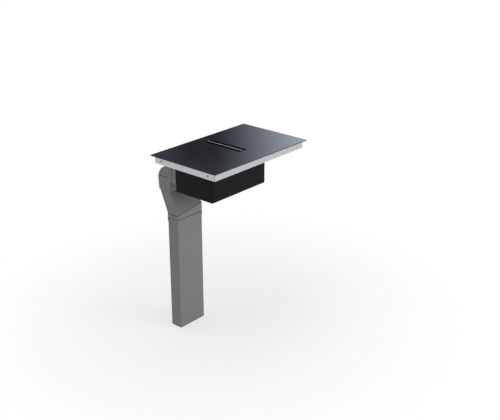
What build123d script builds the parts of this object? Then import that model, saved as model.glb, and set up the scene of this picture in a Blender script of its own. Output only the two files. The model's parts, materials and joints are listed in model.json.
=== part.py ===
from build123d import *
from math import atan2, cos, degrees, radians, sin, sqrt
import os

os.makedirs("parts", exist_ok=True)

# A cooktop with an extractor built into it. The origin is the middle of the hob, on
# the surface of the worktop that it hangs in. X runs to the cook's right, Y away from
# the cook and Z up.

# Driving dimensions of the glass and the vent in it
glass_width = 830
glass_depth = 520
glass_thick = 4
glass_corner = 4
glass_bevel = 1
seal_thick = 1.5
vent_width = 68
vent_length = 300
vent_corner = 8
vent_y = 44

# Driving dimensions of the tray under the glass
tray_width = 790
tray_depth = 480
tray_low = -45
tray_sheet = 1.2
tray_corner = 3
tray_flange = 10
bracket_spacing = 374
bracket_hole_r = 3
bracket_z = -24

# Driving dimensions of the black box: a main body, and a wing that reaches back
# under the vent
box_left = -387
box_right = 73
box_front = -211
box_back = 79
wing_left = -60
wing_back = 206
box_top = -47
box_low = -187
box_wall = 2
box_front_corner = 8
box_corner = 3

# Driving dimensions of the blower
fan_x = -204
fan_y = -54
volute_start = 114
volute_step = 25.6
wheel_r = 88
wheel_inner_r = 74
blade_count = 36

# Driving dimensions of the flat duct
duct_left = -382
duct_right = -177
duct_wall = 2
duct_front = 80
duct_back = 161
duct_low = -1100
elbow_top = -48.5
elbow_leg = 96.5
bend_r = 90
bend_y = 140
elbow_low = -205
adapter_low = -352
collar_split = -373
collar_low = -397
collar_proud = 3.5

# Places of the screws that hang the black box on the tray
hang_places = [(-373, -198), (-90, -198), (-150, 66), (58, -198), (58, 192), (-51, 192)]
hang_screw_r = 2
hang_hole_r = 2.5
thread_gap = 0.05
screw_play = 0.3

# Small posts, bores and shanks that don't turn have this many sides, larger ones more
small_sides = 6
round_sides = 12

# Levels and centres that follow from these
glass_low = seal_thick
glass_high = seal_thick + glass_thick
duct_x = (duct_left + duct_right) / 2
duct_width = duct_right - duct_left
duct_y = (duct_front + duct_back) / 2
outlet_low = elbow_top - elbow_leg


# Glass plate: bevelled black glass-ceramic with the vent aperture
with BuildPart() as glass_top:
    with BuildSketch(Plane.XY.offset(glass_low)):
        RectangleRounded(glass_width, glass_depth, glass_corner)
        with Locations((0, vent_y)):
            RectangleRounded(vent_width, vent_length, vent_corner, mode=Mode.SUBTRACT)
    extrude(amount=glass_thick)
    chamfer(glass_top.faces().sort_by(Axis.Z)[-1].outer_wire().edges(), glass_bevel)
glass_top.part.label = "glass_top"
export_step(glass_top.part, "parts/glass_top.step")

# Foam strip under the overhanging glass, which rests on the worktop
seal_inset = 3
seal_width = 10
with BuildPart() as rim_seal:
    with BuildSketch(Plane.XY):
        Rectangle(glass_width - 2 * seal_inset, glass_depth - 2 * seal_inset)
        inner = 2 * (seal_inset + seal_width)
        Rectangle(glass_width - inner, glass_depth - inner, mode=Mode.SUBTRACT)
    extrude(amount=seal_thick)
rim_seal.part.label = "rim_seal"
export_step(rim_seal.part, "parts/rim_seal.step")

# Silicone bead that bonds the tray's flange to the glass
bond_thick = 0.6
bond_inset = 1
with BuildPart() as glass_bond:
    with BuildSketch(Plane.XY.offset(glass_low - bond_thick)):
        Rectangle(tray_width - 2 * bond_inset, tray_depth - 2 * bond_inset)
        inner = 2 * (tray_flange - bond_inset)
        Rectangle(tray_width - inner, tray_depth - inner, mode=Mode.SUBTRACT)
    extrude(amount=bond_thick)
glass_bond.part.label = "glass_bond"
export_step(glass_bond.part, "parts/glass_bond.step")

# Sheet-metal tray: pan with a flange turned in at the top, an opening for the intake,
# bracket holes in both side walls, fan slots in the floor and warm-air slots at the back
tray_high = glass_low - bond_thick
tray_floor = tray_low + tray_sheet
opening_width = 72
opening_length = 304
fan_spot_x = 290
fan_spot_y = -165
fan_slot_gap = 9
fan_slot_width = 3.5
fan_slot_r = 33
exhaust_slots = 9
exhaust_pitch = 80
exhaust_width = 44
with BuildPart() as hob_tray:
    with BuildSketch(Plane.XY.offset(tray_low)):
        RectangleRounded(tray_width, tray_depth, tray_corner)
    extrude(amount=tray_high - tray_low)
    with BuildSketch(Plane.XY.offset(tray_floor)):
        inner_corner = tray_corner - tray_sheet
        RectangleRounded(tray_width - 2 * tray_sheet, tray_depth - 2 * tray_sheet, inner_corner)
    extrude(amount=tray_high - tray_sheet - tray_floor, mode=Mode.SUBTRACT)
    with BuildSketch(Plane.XY.offset(tray_high - tray_sheet)):
        Rectangle(tray_width - 2 * tray_flange, tray_depth - 2 * tray_flange)
    extrude(amount=tray_sheet, mode=Mode.SUBTRACT)
    with BuildSketch(Plane.XY.offset(tray_low)):
        with Locations((0, vent_y)):
            Rectangle(opening_width, opening_length)
        for side in (-1, 1):
            for row in range(-3, 4):
                half = sqrt(fan_slot_r**2 - (row * fan_slot_gap) ** 2)
                with Locations((side * fan_spot_x, fan_spot_y + row * fan_slot_gap)):
                    Rectangle(2 * half, fan_slot_width)
        with Locations(*hang_places):
            RegularPolygon(hang_screw_r + thread_gap, small_sides)
    extrude(amount=tray_sheet, mode=Mode.SUBTRACT)
    with BuildSketch(Plane.YZ.offset(-tray_width / 2)):
        with Locations((0, bracket_z)):
            with GridLocations(bracket_spacing, 0, 2, 1):
                Circle(bracket_hole_r)
    extrude(amount=tray_width, mode=Mode.SUBTRACT)
    with BuildSketch(Plane.XZ.offset(-tray_depth / 2)):
        with Locations((0, bracket_z)):
            with GridLocations(exhaust_pitch, 0, exhaust_slots, 1):
                Rectangle(exhaust_width, fan_slot_width)
    extrude(amount=tray_sheet * 2, mode=Mode.SUBTRACT)
hob_tray.part.label = "hob_tray"
export_step(hob_tray.part, "parts/hob_tray.step")

# Aluminium plates that carry the coils, one on each side of the vent, on folded feet
plate_top = -12
plate_thick = 1.5
plate_inner_x = 48
plate_outer_x = 388
plate_depth = 460
plate_corner = 8
plate_slot_width = 60
plate_slot_depth = 16
foot_size = 12
for side, name in ((-1, "left"), (1, "right")):
    plate_x = side * (plate_inner_x + plate_outer_x) / 2
    plate_width = plate_outer_x - plate_inner_x
    with BuildPart() as coil_plate:
        with BuildSketch(Plane.XY.offset(plate_top - plate_thick)):
            with Locations((plate_x, 0)):
                RectangleRounded(plate_width, plate_depth, plate_corner)
                with GridLocations(plate_width / 2, plate_depth / 2, 2, 2):
                    Rectangle(plate_slot_width, plate_slot_depth, mode=Mode.SUBTRACT)
        extrude(amount=plate_thick)
        with BuildSketch(Plane.XY.offset(tray_floor)):
            with Locations((plate_x, 0)):
                with GridLocations(plate_width - foot_size, plate_depth - 4 * foot_size, 2, 2):
                    Rectangle(plate_thick, foot_size)
        extrude(amount=plate_top - plate_thick - tray_floor)
    coil_plate.part.label = f"coil_plate_{name}"
    export_step(coil_plate.part, f"parts/coil_plate_{name}.step")

# Induction coils: ribbed plastic carriers with the flat litz windings glued on them
coil_places = {
    "front_left": (-218, -116, 88),
    "back_left": (-218, 116, 102),
    "front_right": (218, -116, 102),
    "back_right": (218, 116, 88),
}
ferrite_thick = 3
carrier_thick = 4
winding_thick = 4
winding_inner_r = 26
sensor_hole_r = 10
arm_count = 6
arm_width = 18
hub_share = 0.45
bar_width = 12
bar_share = 0.6
carrier_low = plate_top + ferrite_thick
with BuildPart() as coil_carriers:
    with BuildSketch(Plane.XY.offset(carrier_low)):
        for coil_x, coil_y, coil_r in coil_places.values():
            with Locations((coil_x, coil_y)):
                RegularPolygon(coil_r * hub_share, arm_count)
                with PolarLocations(coil_r / 2, arm_count):
                    Rectangle(coil_r, arm_width)
                RegularPolygon(sensor_hole_r, small_sides, mode=Mode.SUBTRACT)
    extrude(amount=carrier_thick)
coil_carriers.part.label = "coil_carriers"
export_step(coil_carriers.part, "parts/coil_carriers.step")

for name, (coil_x, coil_y, coil_r) in coil_places.items():
    with BuildPart() as coil_winding:
        with BuildSketch(Plane.XY.offset(carrier_low + carrier_thick)):
            with Locations((coil_x, coil_y)):
                Circle(coil_r)
                Circle(winding_inner_r, mode=Mode.SUBTRACT)
        extrude(amount=winding_thick)
    coil_winding.part.label = f"coil_winding_{name}"
    export_step(coil_winding.part, f"parts/coil_winding_{name}.step")

# Ferrite bars between each carrier arm and the plate
with BuildPart() as ferrite_bars:
    with BuildSketch(Plane.XY.offset(plate_top)):
        for coil_x, coil_y, coil_r in coil_places.values():
            with Locations((coil_x, coil_y)):
                with PolarLocations(coil_r * bar_share, arm_count):
                    Rectangle(coil_r * bar_share, bar_width)
    extrude(amount=ferrite_thick)
ferrite_bars.part.label = "ferrite_bars"
export_step(ferrite_bars.part, "parts/ferrite_bars.step")

# Temperature sensor that stands in the middle of each coil, pressed to the glass
sensor_r = 8
sensor_cap_r = 13
sensor_cap = 1
with BuildPart() as coil_sensors:
    with BuildSketch(Plane.XY.offset(plate_top)):
        for coil_x, coil_y, coil_r in coil_places.values():
            with Locations((coil_x, coil_y)):
                RegularPolygon(sensor_r, small_sides)
    extrude(amount=glass_low - sensor_cap - plate_top)
    with BuildSketch(Plane.XY.offset(glass_low - sensor_cap)):
        for coil_x, coil_y, coil_r in coil_places.values():
            with Locations((coil_x, coil_y)):
                RegularPolygon(sensor_cap_r, small_sides)
    extrude(amount=sensor_cap)
coil_sensors.part.label = "coil_sensors"
export_step(coil_sensors.part, "parts/coil_sensors.step")

# Inverter boards on stand-offs, each with its capacitors, and their finned coolers
board_low = -39
board_thick = 1.6
board_x = 250
board_y = 40
board_width = 220
board_depth = 250
post_inset = 8
post_r = 4
capacitor_x = 62
capacitor_r = 11
choke_x = 78
choke_width = 30
choke_depth = 36
choke_pitch = 56
tall_part_high = 18
sink_x = 8
sink_width = 84
sink_depth = 150
sink_base = 4
sink_fins = 9
fin_thick = 2
sink_top = -17
for side, name in ((-1, "left"), (1, "right")):
    with BuildPart() as power_board:
        with BuildSketch(Plane.XY.offset(board_low)):
            with Locations((side * board_x, board_y)):
                Rectangle(board_width, board_depth)
        extrude(amount=board_thick)
        with BuildSketch(Plane.XY.offset(tray_floor)):
            with Locations((side * board_x, board_y)):
                post_run = board_width - 2 * post_inset
                with GridLocations(post_run, board_depth - 2 * post_inset, 2, 2):
                    RegularPolygon(post_r, small_sides)
        extrude(amount=board_low - tray_floor)
        with BuildSketch(Plane.XY.offset(board_low + board_thick)):
            with Locations((side * (board_x + capacitor_x), board_y)):
                with GridLocations(3 * capacitor_r, 6 * capacitor_r, 2, 3):
                    RegularPolygon(capacitor_r, small_sides)
            with Locations((side * (board_x - choke_x), board_y)):
                with GridLocations(0, choke_pitch, 1, 4):
                    Rectangle(choke_width, choke_depth)
        extrude(amount=tall_part_high)
    power_board.part.label = f"power_board_{name}"
    export_step(power_board.part, f"parts/power_board_{name}.step")

    with BuildPart() as heatsink:
        with BuildSketch(Plane.XZ.offset(-board_y + sink_depth / 2)):
            with Locations((side * (board_x - sink_x), board_low + board_thick)):
                Rectangle(sink_width, sink_base, align=(Align.CENTER, Align.MIN))
            fin_low = board_low + board_thick + sink_base
            with Locations((side * (board_x - sink_x), (fin_low + sink_top) / 2)):
                with GridLocations((sink_width - fin_thick) / (sink_fins - 1), 0, sink_fins, 1):
                    Rectangle(fin_thick, sink_top - fin_low)
        extrude(amount=-sink_depth)
    heatsink.part.label = f"heatsink_{name}"
    export_step(heatsink.part, f"parts/heatsink_{name}.step")

# Cooling fans over the floor slots: a square frame with three spokes, and a rotor
fan_frame_size = 80
fan_frame_corner = 6
fan_frame_high = -19
fan_spoke_width = 5
fan_spoke_thick = 4
fan_bore_r = 36
fan_hub_r = 14
fan_shaft_r = 2
running_gap = 0.06
rotor_low = -38
rotor_high = -20.5
rotor_tip_r = 34
rotor_blades = 7
rotor_blade_thick = 1.4
rotor_blade_depth = 15
rotor_blade_lean = 38
shaft_gap = 0.5
for side, name in ((-1, "left"), (1, "right")):
    with BuildPart() as fan_frame:
        with BuildSketch(Plane.XY.offset(tray_floor)):
            with Locations((side * fan_spot_x, fan_spot_y)):
                RectangleRounded(fan_frame_size, fan_frame_size, fan_frame_corner)
                RegularPolygon(fan_bore_r, 2 * round_sides, mode=Mode.SUBTRACT)
        extrude(amount=fan_frame_high - tray_floor)
        with BuildSketch(Plane.XY.offset(tray_floor)):
            with Locations((side * fan_spot_x, fan_spot_y)):
                RegularPolygon(fan_hub_r, round_sides)
                with PolarLocations(fan_bore_r / 2, 3):
                    Rectangle(fan_bore_r + 2, fan_spoke_width)
        extrude(amount=fan_spoke_thick)
        with BuildSketch(Plane.XY.offset(tray_floor)):
            with Locations((side * fan_spot_x, fan_spot_y)):
                Circle(fan_shaft_r + running_gap)
        extrude(amount=fan_spoke_thick, mode=Mode.SUBTRACT)
    fan_frame.part.label = f"cooling_fan_frame_{name}"
    export_step(fan_frame.part, f"parts/cooling_fan_frame_{name}.step")

    with BuildPart() as fan_rotor:
        with BuildSketch(Plane.XY.offset(rotor_low)):
            with Locations((side * fan_spot_x, fan_spot_y)):
                RegularPolygon(fan_hub_r, round_sides)
        extrude(amount=rotor_high - rotor_low)
        with BuildSketch(Plane.XY.offset(tray_floor + shaft_gap)):
            with Locations((side * fan_spot_x, fan_spot_y)):
                Circle(fan_shaft_r)
        extrude(amount=rotor_low - tray_floor - shaft_gap)
        with Locations((side * fan_spot_x, fan_spot_y, (rotor_low + rotor_high) / 2)):
            with PolarLocations((fan_hub_r + rotor_tip_r) / 2 - 1, rotor_blades):
                Box(
                    rotor_tip_r - fan_hub_r + 2,
                    rotor_blade_thick,
                    rotor_blade_depth,
                    rotation=(side * rotor_blade_lean, 0, 0),
                )
    fan_rotor.part.label = f"cooling_fan_rotor_{name}"
    export_step(fan_rotor.part, f"parts/cooling_fan_rotor_{name}.step")

# Touch board behind the front of the glass, on four posts, with its contact pads
touch_y = -206
touch_width = 250
touch_depth = 40
touch_low = -7
touch_thick = 1.6
touch_post_r = 3
touch_post_pitch = 60
touch_post_inset = 5
pad_count = 11
pad_pitch = 21
pad_r = 5
with BuildPart() as touch_board:
    with BuildSketch(Plane.XY.offset(touch_low)):
        with Locations((0, touch_y)):
            Rectangle(touch_width, touch_depth)
    extrude(amount=touch_thick)
    with BuildSketch(Plane.XY.offset(tray_floor)):
        with Locations((0, touch_y)):
            with GridLocations(touch_post_pitch, touch_depth - 2 * touch_post_inset, 2, 2):
                RegularPolygon(touch_post_r, small_sides)
    extrude(amount=touch_low - tray_floor)
touch_board.part.label = "touch_board"
export_step(touch_board.part, "parts/touch_board.step")

with BuildPart() as touch_pads:
    with BuildSketch(Plane.XY.offset(touch_low + touch_thick)):
        with Locations((0, touch_y)):
            with GridLocations(pad_pitch, 0, pad_count, 1):
                RegularPolygon(pad_r, small_sides)
    extrude(amount=glass_low - touch_low - touch_thick)
touch_pads.part.label = "touch_pads"
export_step(touch_pads.part, "parts/touch_pads.step")


head_share = 1.9


def write_screws(label, plane, places, shank_r, shank_length):
    """Hexagon-head screws: the shanks go forward from the plane, the heads sit behind it."""
    with BuildPart() as screws:
        with BuildSketch(plane):
            with Locations(*places):
                RegularPolygon(shank_r, small_sides)
        extrude(amount=shank_length)
        with BuildSketch(plane):
            with Locations(*places):
                RegularPolygon(shank_r * head_share, small_sides)
        extrude(amount=-shank_r)
    screws.part.label = label
    export_step(screws.part, f"parts/{label}.step")


# Mains terminal box under the back of the tray: open box, cover, block and cord gland
terminal_x = 285
terminal_y = 188
terminal_width = 90
terminal_depth = 76
terminal_low = -75
terminal_wall = 2
terminal_corner = 4
terminal_edge = 0.6
terminal_boss_r = 5
terminal_boss_high = 12
terminal_screw_r = 1.5
terminal_screw_length = 10
gland_r = 9
gland_bore_r = 6.5
gland_reach = 22
gland_y = terminal_y - 14
gland_z = -61
gland_inside = 4
gland_nut_r = gland_r + 3.4
gland_nut_long = 9
gland_cap_r = gland_r + 1.6
gland_fit = 0.05
terminal_screw_spacing = 78
block_shift = 12
block_width = 54
block_depth = 18
block_high = 16
block_ways = 5
block_pitch = 10
block_bore_r = 2.4
with BuildPart() as terminal_box:
    with BuildSketch(Plane.XY.offset(terminal_low)):
        with Locations((terminal_x, terminal_y)):
            RectangleRounded(terminal_width, terminal_depth, terminal_corner)
    extrude(amount=tray_low - terminal_low)
    with BuildSketch(Plane.XY.offset(terminal_low)):
        with Locations((terminal_x, terminal_y)):
            Rectangle(terminal_width - 2 * terminal_wall, terminal_depth - 2 * terminal_wall)
    extrude(amount=tray_low - terminal_low - terminal_wall, mode=Mode.SUBTRACT)
    with BuildSketch(Plane.XY.offset(terminal_low)):
        with Locations((terminal_x, terminal_y)):
            with GridLocations(terminal_screw_spacing, 0, 2, 1):
                RegularPolygon(terminal_boss_r, small_sides)
                RegularPolygon(terminal_screw_r + thread_gap, small_sides, mode=Mode.SUBTRACT)
    extrude(amount=terminal_boss_high)
    with BuildSketch(Plane.YZ.offset(terminal_x + terminal_width / 2)):
        with Locations((gland_y, gland_z)):
            Circle(gland_r)
    extrude(amount=-terminal_wall, mode=Mode.SUBTRACT)
terminal_box.part.label = "terminal_box"
export_step(terminal_box.part, "parts/terminal_box.step")

with BuildPart() as terminal_cover:
    with BuildSketch(Plane.XY.offset(terminal_low - terminal_wall)):
        with Locations((terminal_x, terminal_y)):
            RectangleRounded(terminal_width, terminal_depth, terminal_corner)
            with GridLocations(terminal_screw_spacing, 0, 2, 1):
                RegularPolygon(terminal_screw_r + screw_play, small_sides, mode=Mode.SUBTRACT)
    extrude(amount=terminal_wall)
    lower_rim = terminal_cover.faces().sort_by(Axis.Z)[0].outer_wire()
    chamfer(lower_rim.edges(), terminal_edge)
terminal_cover.part.label = "terminal_cover"
export_step(terminal_cover.part, "parts/terminal_cover.step")

with BuildPart() as terminal_block:
    with BuildSketch(Plane.XY.offset(tray_low - terminal_wall - block_high)):
        with Locations((terminal_x - block_shift, terminal_y + block_shift)):
            Rectangle(block_width, block_depth)
            with GridLocations(block_pitch, 0, block_ways, 1):
                RegularPolygon(block_bore_r, small_sides, mode=Mode.SUBTRACT)
    extrude(amount=block_high)
terminal_block.part.label = "terminal_block"
export_step(terminal_block.part, "parts/terminal_block.step")

write_screws(
    "terminal_screws",
    Plane.XY.offset(terminal_low - terminal_wall),
    [(terminal_x - terminal_screw_spacing / 2, terminal_y)]
    + [(terminal_x + terminal_screw_spacing / 2, terminal_y)],
    terminal_screw_r,
    terminal_screw_length,
)

with BuildPart() as cable_gland:
    gland_plane = Plane.YZ.offset(terminal_x + terminal_width / 2)
    gland_stem = terminal_wall + gland_inside
    with BuildSketch(gland_plane.offset(-gland_stem)):
        with Locations((gland_y, gland_z)):
            RegularPolygon(gland_r - gland_fit, round_sides)
    extrude(amount=gland_stem)
    with BuildSketch(gland_plane):
        with Locations((gland_y, gland_z)):
            RegularPolygon(gland_nut_r, small_sides)
    extrude(amount=gland_nut_long)
    with BuildSketch(gland_plane.offset(gland_nut_long)):
        with Locations((gland_y, gland_z)):
            RegularPolygon(gland_cap_r, round_sides)
    extrude(amount=gland_reach - gland_nut_long, taper=8)
    with BuildSketch(gland_plane.offset(-gland_stem)):
        with Locations((gland_y, gland_z)):
            Circle(gland_bore_r)
    extrude(amount=gland_reach + gland_stem, mode=Mode.SUBTRACT)
cable_gland.part.label = "cable_gland"
export_step(cable_gland.part, "parts/cable_gland.step")

# Black trim in the vent aperture: a wall inside the glass and a lip bonded under it
trim_gap = 0.5
trim_wall = 2
trim_lip = 6
trim_high = glass_high - 0.3
mouth_width = vent_width - 2 * (trim_gap + trim_wall)
mouth_length = vent_length - 2 * (trim_gap + trim_wall)
mouth_corner = vent_corner - trim_gap - trim_wall
with BuildPart() as vent_frame:
    with BuildSketch(Plane.XY):
        with Locations((0, vent_y)):
            Rectangle(vent_width + 2 * trim_lip, vent_length + 2 * trim_lip)
    extrude(amount=glass_low)
    with BuildSketch(Plane.XY.offset(glass_low)):
        with Locations((0, vent_y)):
            RectangleRounded(
                vent_width - 2 * trim_gap, vent_length - 2 * trim_gap, vent_corner - trim_gap
            )
    extrude(amount=trim_high - glass_low)
    with BuildSketch(Plane.XY):
        with Locations((0, vent_y)):
            RectangleRounded(mouth_width, mouth_length, mouth_corner)
    extrude(amount=trim_high, mode=Mode.SUBTRACT)
vent_frame.part.label = "vent_frame"
export_step(vent_frame.part, "parts/vent_frame.step")

# Intake channel: a pocket that takes the grille, a ledge that carries the grease
# filter, and a neck down through the tray into the black box
pocket_low = -14.5
ledge_z = -12
channel_low = -52
channel_wall = 3
neck_width = mouth_width - 5
neck_length = mouth_length - 5
with BuildPart() as intake_channel:
    with BuildSketch(Plane.XY.offset(pocket_low)):
        with Locations((0, vent_y)):
            pocket_width = mouth_width + 2 * channel_wall
            Rectangle(pocket_width, mouth_length + 2 * channel_wall)
    extrude(amount=-pocket_low)
    with BuildSketch(Plane.XY.offset(channel_low)):
        with Locations((0, vent_y)):
            Rectangle(mouth_width, mouth_length)
    extrude(amount=pocket_low - channel_low)
    with BuildSketch(Plane.XY.offset(ledge_z)):
        with Locations((0, vent_y)):
            RectangleRounded(mouth_width, mouth_length, mouth_corner)
    extrude(amount=-ledge_z, mode=Mode.SUBTRACT)
    with BuildSketch(Plane.XY.offset(channel_low)):
        with Locations((0, vent_y)):
            Rectangle(neck_width, neck_length)
    extrude(amount=ledge_z - channel_low, mode=Mode.SUBTRACT)
intake_channel.part.label = "intake_channel"
export_step(intake_channel.part, "parts/intake_channel.step")

# Foam gasket between tray and black box, round the neck
gasket_width = 84
gasket_length = 320
gasket_gap = 0.2
with BuildPart() as channel_gasket:
    with BuildSketch(Plane.XY.offset(box_top)):
        with Locations((0, vent_y)):
            Rectangle(gasket_width, gasket_length)
            bore_width = mouth_width + 2 * gasket_gap
            Rectangle(bore_width, mouth_length + 2 * gasket_gap, mode=Mode.SUBTRACT)
    extrude(amount=tray_low - box_top)
channel_gasket.part.label = "channel_gasket"
export_step(channel_gasket.part, "parts/channel_gasket.step")

# Grease filter: a steel cassette hung by its rim from the ledge, filled with chevron
# slats that turn the air twice, with two finger bars to lift it by
fit_gap = 0.3
cassette_gap = 0.5
cassette_low = -66
cassette_sheet = 1
rim_thick = 1
rim_low = ledge_z + fit_gap
cassette_width = neck_width - 2 * cassette_gap
cassette_length = neck_length - 2 * cassette_gap
cassette_bore = cassette_width - 2 * cassette_sheet
cassette_run = cassette_length - 2 * cassette_sheet
grille_corner = 4.8
rim_gap = 0.8
rim_width = mouth_width - 2 * rim_gap
rim_length = mouth_length - 2 * rim_gap
window_count = 6
window_pitch = 46
window_length = 38
cassette_corner = 3.5
finger_bar_y = 92
finger_bar_width = 8
finger_bar_thick = 2
finger_bar_drop = 4
with BuildPart() as filter_cassette:
    with BuildSketch(Plane.XY.offset(cassette_low)):
        with Locations((0, vent_y)):
            RectangleRounded(cassette_width, cassette_length, cassette_corner)
    extrude(amount=rim_low - cassette_low)
    with BuildSketch(Plane.XY.offset(rim_low)):
        with Locations((0, vent_y)):
            RectangleRounded(rim_width, rim_length, grille_corner)
    extrude(amount=rim_thick)
    with BuildSketch(Plane.XY.offset(cassette_low + cassette_sheet)):
        with Locations((0, vent_y)):
            Rectangle(cassette_bore, cassette_run)
    extrude(amount=rim_low + rim_thick - cassette_low - cassette_sheet, mode=Mode.SUBTRACT)
    with BuildSketch(Plane.XY.offset(cassette_low)):
        with Locations((0, vent_y)):
            with GridLocations(0, window_pitch, 1, window_count):
                Rectangle(cassette_bore, window_length)
    extrude(amount=cassette_sheet, mode=Mode.SUBTRACT)
    with BuildSketch(Plane.XY.offset(rim_low - finger_bar_drop)):
        with Locations((0, vent_y)):
            with GridLocations(0, 2 * finger_bar_y, 1, 2):
                Rectangle(cassette_bore, finger_bar_width)
    extrude(amount=finger_bar_thick)
filter_cassette.part.label = "filter_cassette"
export_step(filter_cassette.part, "parts/filter_cassette.step")

slat_pitch = 16
slat_count = 16
slat_high = -22
slat_fold = -42
slat_low = -62
slat_lean = 10
slat_thick = 1.4
with BuildPart() as filter_slats:
    with BuildSketch(Plane.YZ.offset(-cassette_bore / 2)):
        with Locations((vent_y - slat_lean / 2, 0)):
            with GridLocations(slat_pitch, 0, slat_count, 1):
                Polygon(
                    (0, slat_high),
                    (slat_thick, slat_high),
                    (slat_lean + slat_thick, slat_fold),
                    (slat_thick, slat_low),
                    (0, slat_low),
                    (slat_lean, slat_fold),
                    align=None,
                )
    extrude(amount=cassette_bore)
filter_slats.part.label = "filter_slats"
export_step(filter_slats.part, "parts/filter_slats.step")

# Lift-off grille: a black ring with a web down its middle, and the bright metal cap
# that is pushed onto the web, which leaves one long air slot on each side
grille_low = rim_low + rim_thick + fit_gap
grille_high = glass_high - 0.6
grille_bar = 3.5
grille_edge = 0.6
slot_corner = 1.5
web_thick = 4
web_high = 3.8
cap_width = 8
cap_low = 2.3
cap_high = glass_high - 0.1
cap_round = 1.2
cap_fit = 0.05
grille_width = mouth_width - 1
grille_length = mouth_length - 1
slot_length = grille_length - 2 * grille_bar
with BuildPart() as grille_frame:
    with BuildSketch(Plane.XY.offset(grille_low)):
        with Locations((0, vent_y)):
            RectangleRounded(grille_width, grille_length, grille_corner)
            RectangleRounded(
                grille_width - 2 * grille_bar, slot_length, slot_corner, mode=Mode.SUBTRACT
            )
    extrude(amount=grille_high - grille_low)
    chamfer(grille_frame.faces().sort_by(Axis.Z)[-1].outer_wire().edges(), grille_edge)
    with BuildSketch(Plane.XY.offset(grille_low)):
        with Locations((0, vent_y)):
            Rectangle(web_thick, slot_length + grille_bar)
    extrude(amount=web_high - grille_low)
grille_frame.part.label = "grille_frame"
export_step(grille_frame.part, "parts/grille_frame.step")

with BuildPart() as grille_blade:
    with BuildSketch(Plane.XZ.offset(-vent_y - slot_length / 2)) as cap_profile:
        with Locations((0, cap_low)):
            Rectangle(cap_width, cap_high - cap_low, align=(Align.CENTER, Align.MIN))
            Rectangle(
                web_thick + 2 * cap_fit,
                web_high - cap_low,
                align=(Align.CENTER, Align.MIN),
                mode=Mode.SUBTRACT,
            )
        fillet(cap_profile.vertices().group_by(Axis.Y)[-1], cap_round)
    extrude(amount=slot_length)
grille_blade.part.label = "grille_blade"
export_step(grille_blade.part, "parts/grille_blade.step")


def box_outline(inset, z):
    """The box seen from above: the main body, and the wing that reaches back under the vent."""
    with BuildSketch(Plane.XY.offset(z)) as outline:
        with BuildLine():
            Polyline(
                (box_left + inset, box_front + inset),
                (box_right - inset, box_front + inset),
                (box_right - inset, wing_back - inset),
                (wing_left + inset, wing_back - inset),
                (wing_left + inset, box_back - inset),
                (box_left + inset, box_back - inset),
                close=True,
            )
        make_face()
        fillet(outline.vertices().filter_by_position(Axis.Y, 0, wing_back), box_corner - inset)
        fillet(outline.vertices().group_by(Axis.Y)[0], box_front_corner - inset)
    return outline.sketch


# Flange of the flat outlet, which is screwed to the back of the black box
spigot_back = 118
flange_back = box_back + 2.5
flange_drop = 15
spigot_screw_z = outlet_low - flange_drop / 2
spigot_screw_x = duct_right + flange_drop / 2
spigot_screw_places = [(x, spigot_screw_z) for x in (-360, -280, -200)]
spigot_screw_places += [(spigot_screw_x, z) for z in (-70, -118)]
spigot_screw_r = 1.5

# Black box: a housing open at the bottom, with screw bosses in its corners, holes for
# the screws that hang it on the tray, the intake opening and the outlet opening
floor_sheet = 2
housing_low = box_low + floor_sheet
boss_r = 5
boss_high = -150
boss_inset = box_wall + 4
boss_middle_x = -157
cover_screw_r = 1.75
cover_screw_long = 14
cover_hole_deep = 20
boss_places = [
    (box_left + boss_inset, box_front + boss_inset),
    (boss_middle_x, box_front + boss_inset),
    (box_right - boss_inset, box_front + boss_inset),
    (box_right - boss_inset, 0),
    (box_right - boss_inset, wing_back - boss_inset),
    (wing_left + boss_inset, wing_back - boss_inset),
    (boss_middle_x, box_back - boss_inset),
    (box_left + boss_inset, box_back - boss_inset),
]
throat_left = duct_left + duct_wall
throat_right = duct_right - duct_wall
throat_high = elbow_top - duct_wall
throat_low = outlet_low + duct_wall
with BuildPart() as extractor_housing:
    extrude(box_outline(0, housing_low), amount=box_top - housing_low)
    extrude(
        box_outline(box_wall, housing_low),
        amount=box_top - box_wall - housing_low,
        mode=Mode.SUBTRACT,
    )
    with BuildSketch(Plane.XY.offset(housing_low)):
        with Locations(*boss_places):
            RegularPolygon(boss_r, small_sides)
    extrude(amount=boss_high - housing_low)
    with BuildSketch(Plane.XY.offset(housing_low)):
        with Locations(*boss_places):
            RegularPolygon(cover_screw_r + thread_gap, small_sides)
    extrude(amount=cover_hole_deep, mode=Mode.SUBTRACT)
    with BuildSketch(Plane.XY.offset(box_top - box_wall)):
        with Locations((0, vent_y)):
            Rectangle(opening_width, opening_length)
        with Locations(*hang_places):
            RegularPolygon(hang_hole_r, small_sides)
    extrude(amount=box_wall, mode=Mode.SUBTRACT)
    with BuildSketch(Plane.XZ.offset(-box_back)):
        with Locations((duct_x, (throat_low + throat_high) / 2)):
            Rectangle(throat_right - throat_left, throat_high - throat_low)
        with Locations(*spigot_screw_places):
            RegularPolygon(spigot_screw_r + thread_gap, small_sides)
    extrude(amount=box_wall, mode=Mode.SUBTRACT)
extractor_housing.part.label = "extractor_housing"
export_step(extractor_housing.part, "parts/extractor_housing.step")

# Rubber pads and screws that hang the box on the tray
pad_outer_r = 8
hang_screw_long = 7.5
with BuildPart() as mount_pads:
    with BuildSketch(Plane.XY.offset(box_top)):
        with Locations(*hang_places):
            RegularPolygon(pad_outer_r, small_sides)
            RegularPolygon(hang_hole_r, small_sides, mode=Mode.SUBTRACT)
    extrude(amount=tray_low - box_top)
mount_pads.part.label = "mount_pads"
export_step(mount_pads.part, "parts/mount_pads.step")

hang_plane = Plane.XY.offset(box_top - box_wall)
write_screws("mount_screws", hang_plane, hang_places, hang_screw_r, hang_screw_long)

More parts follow.
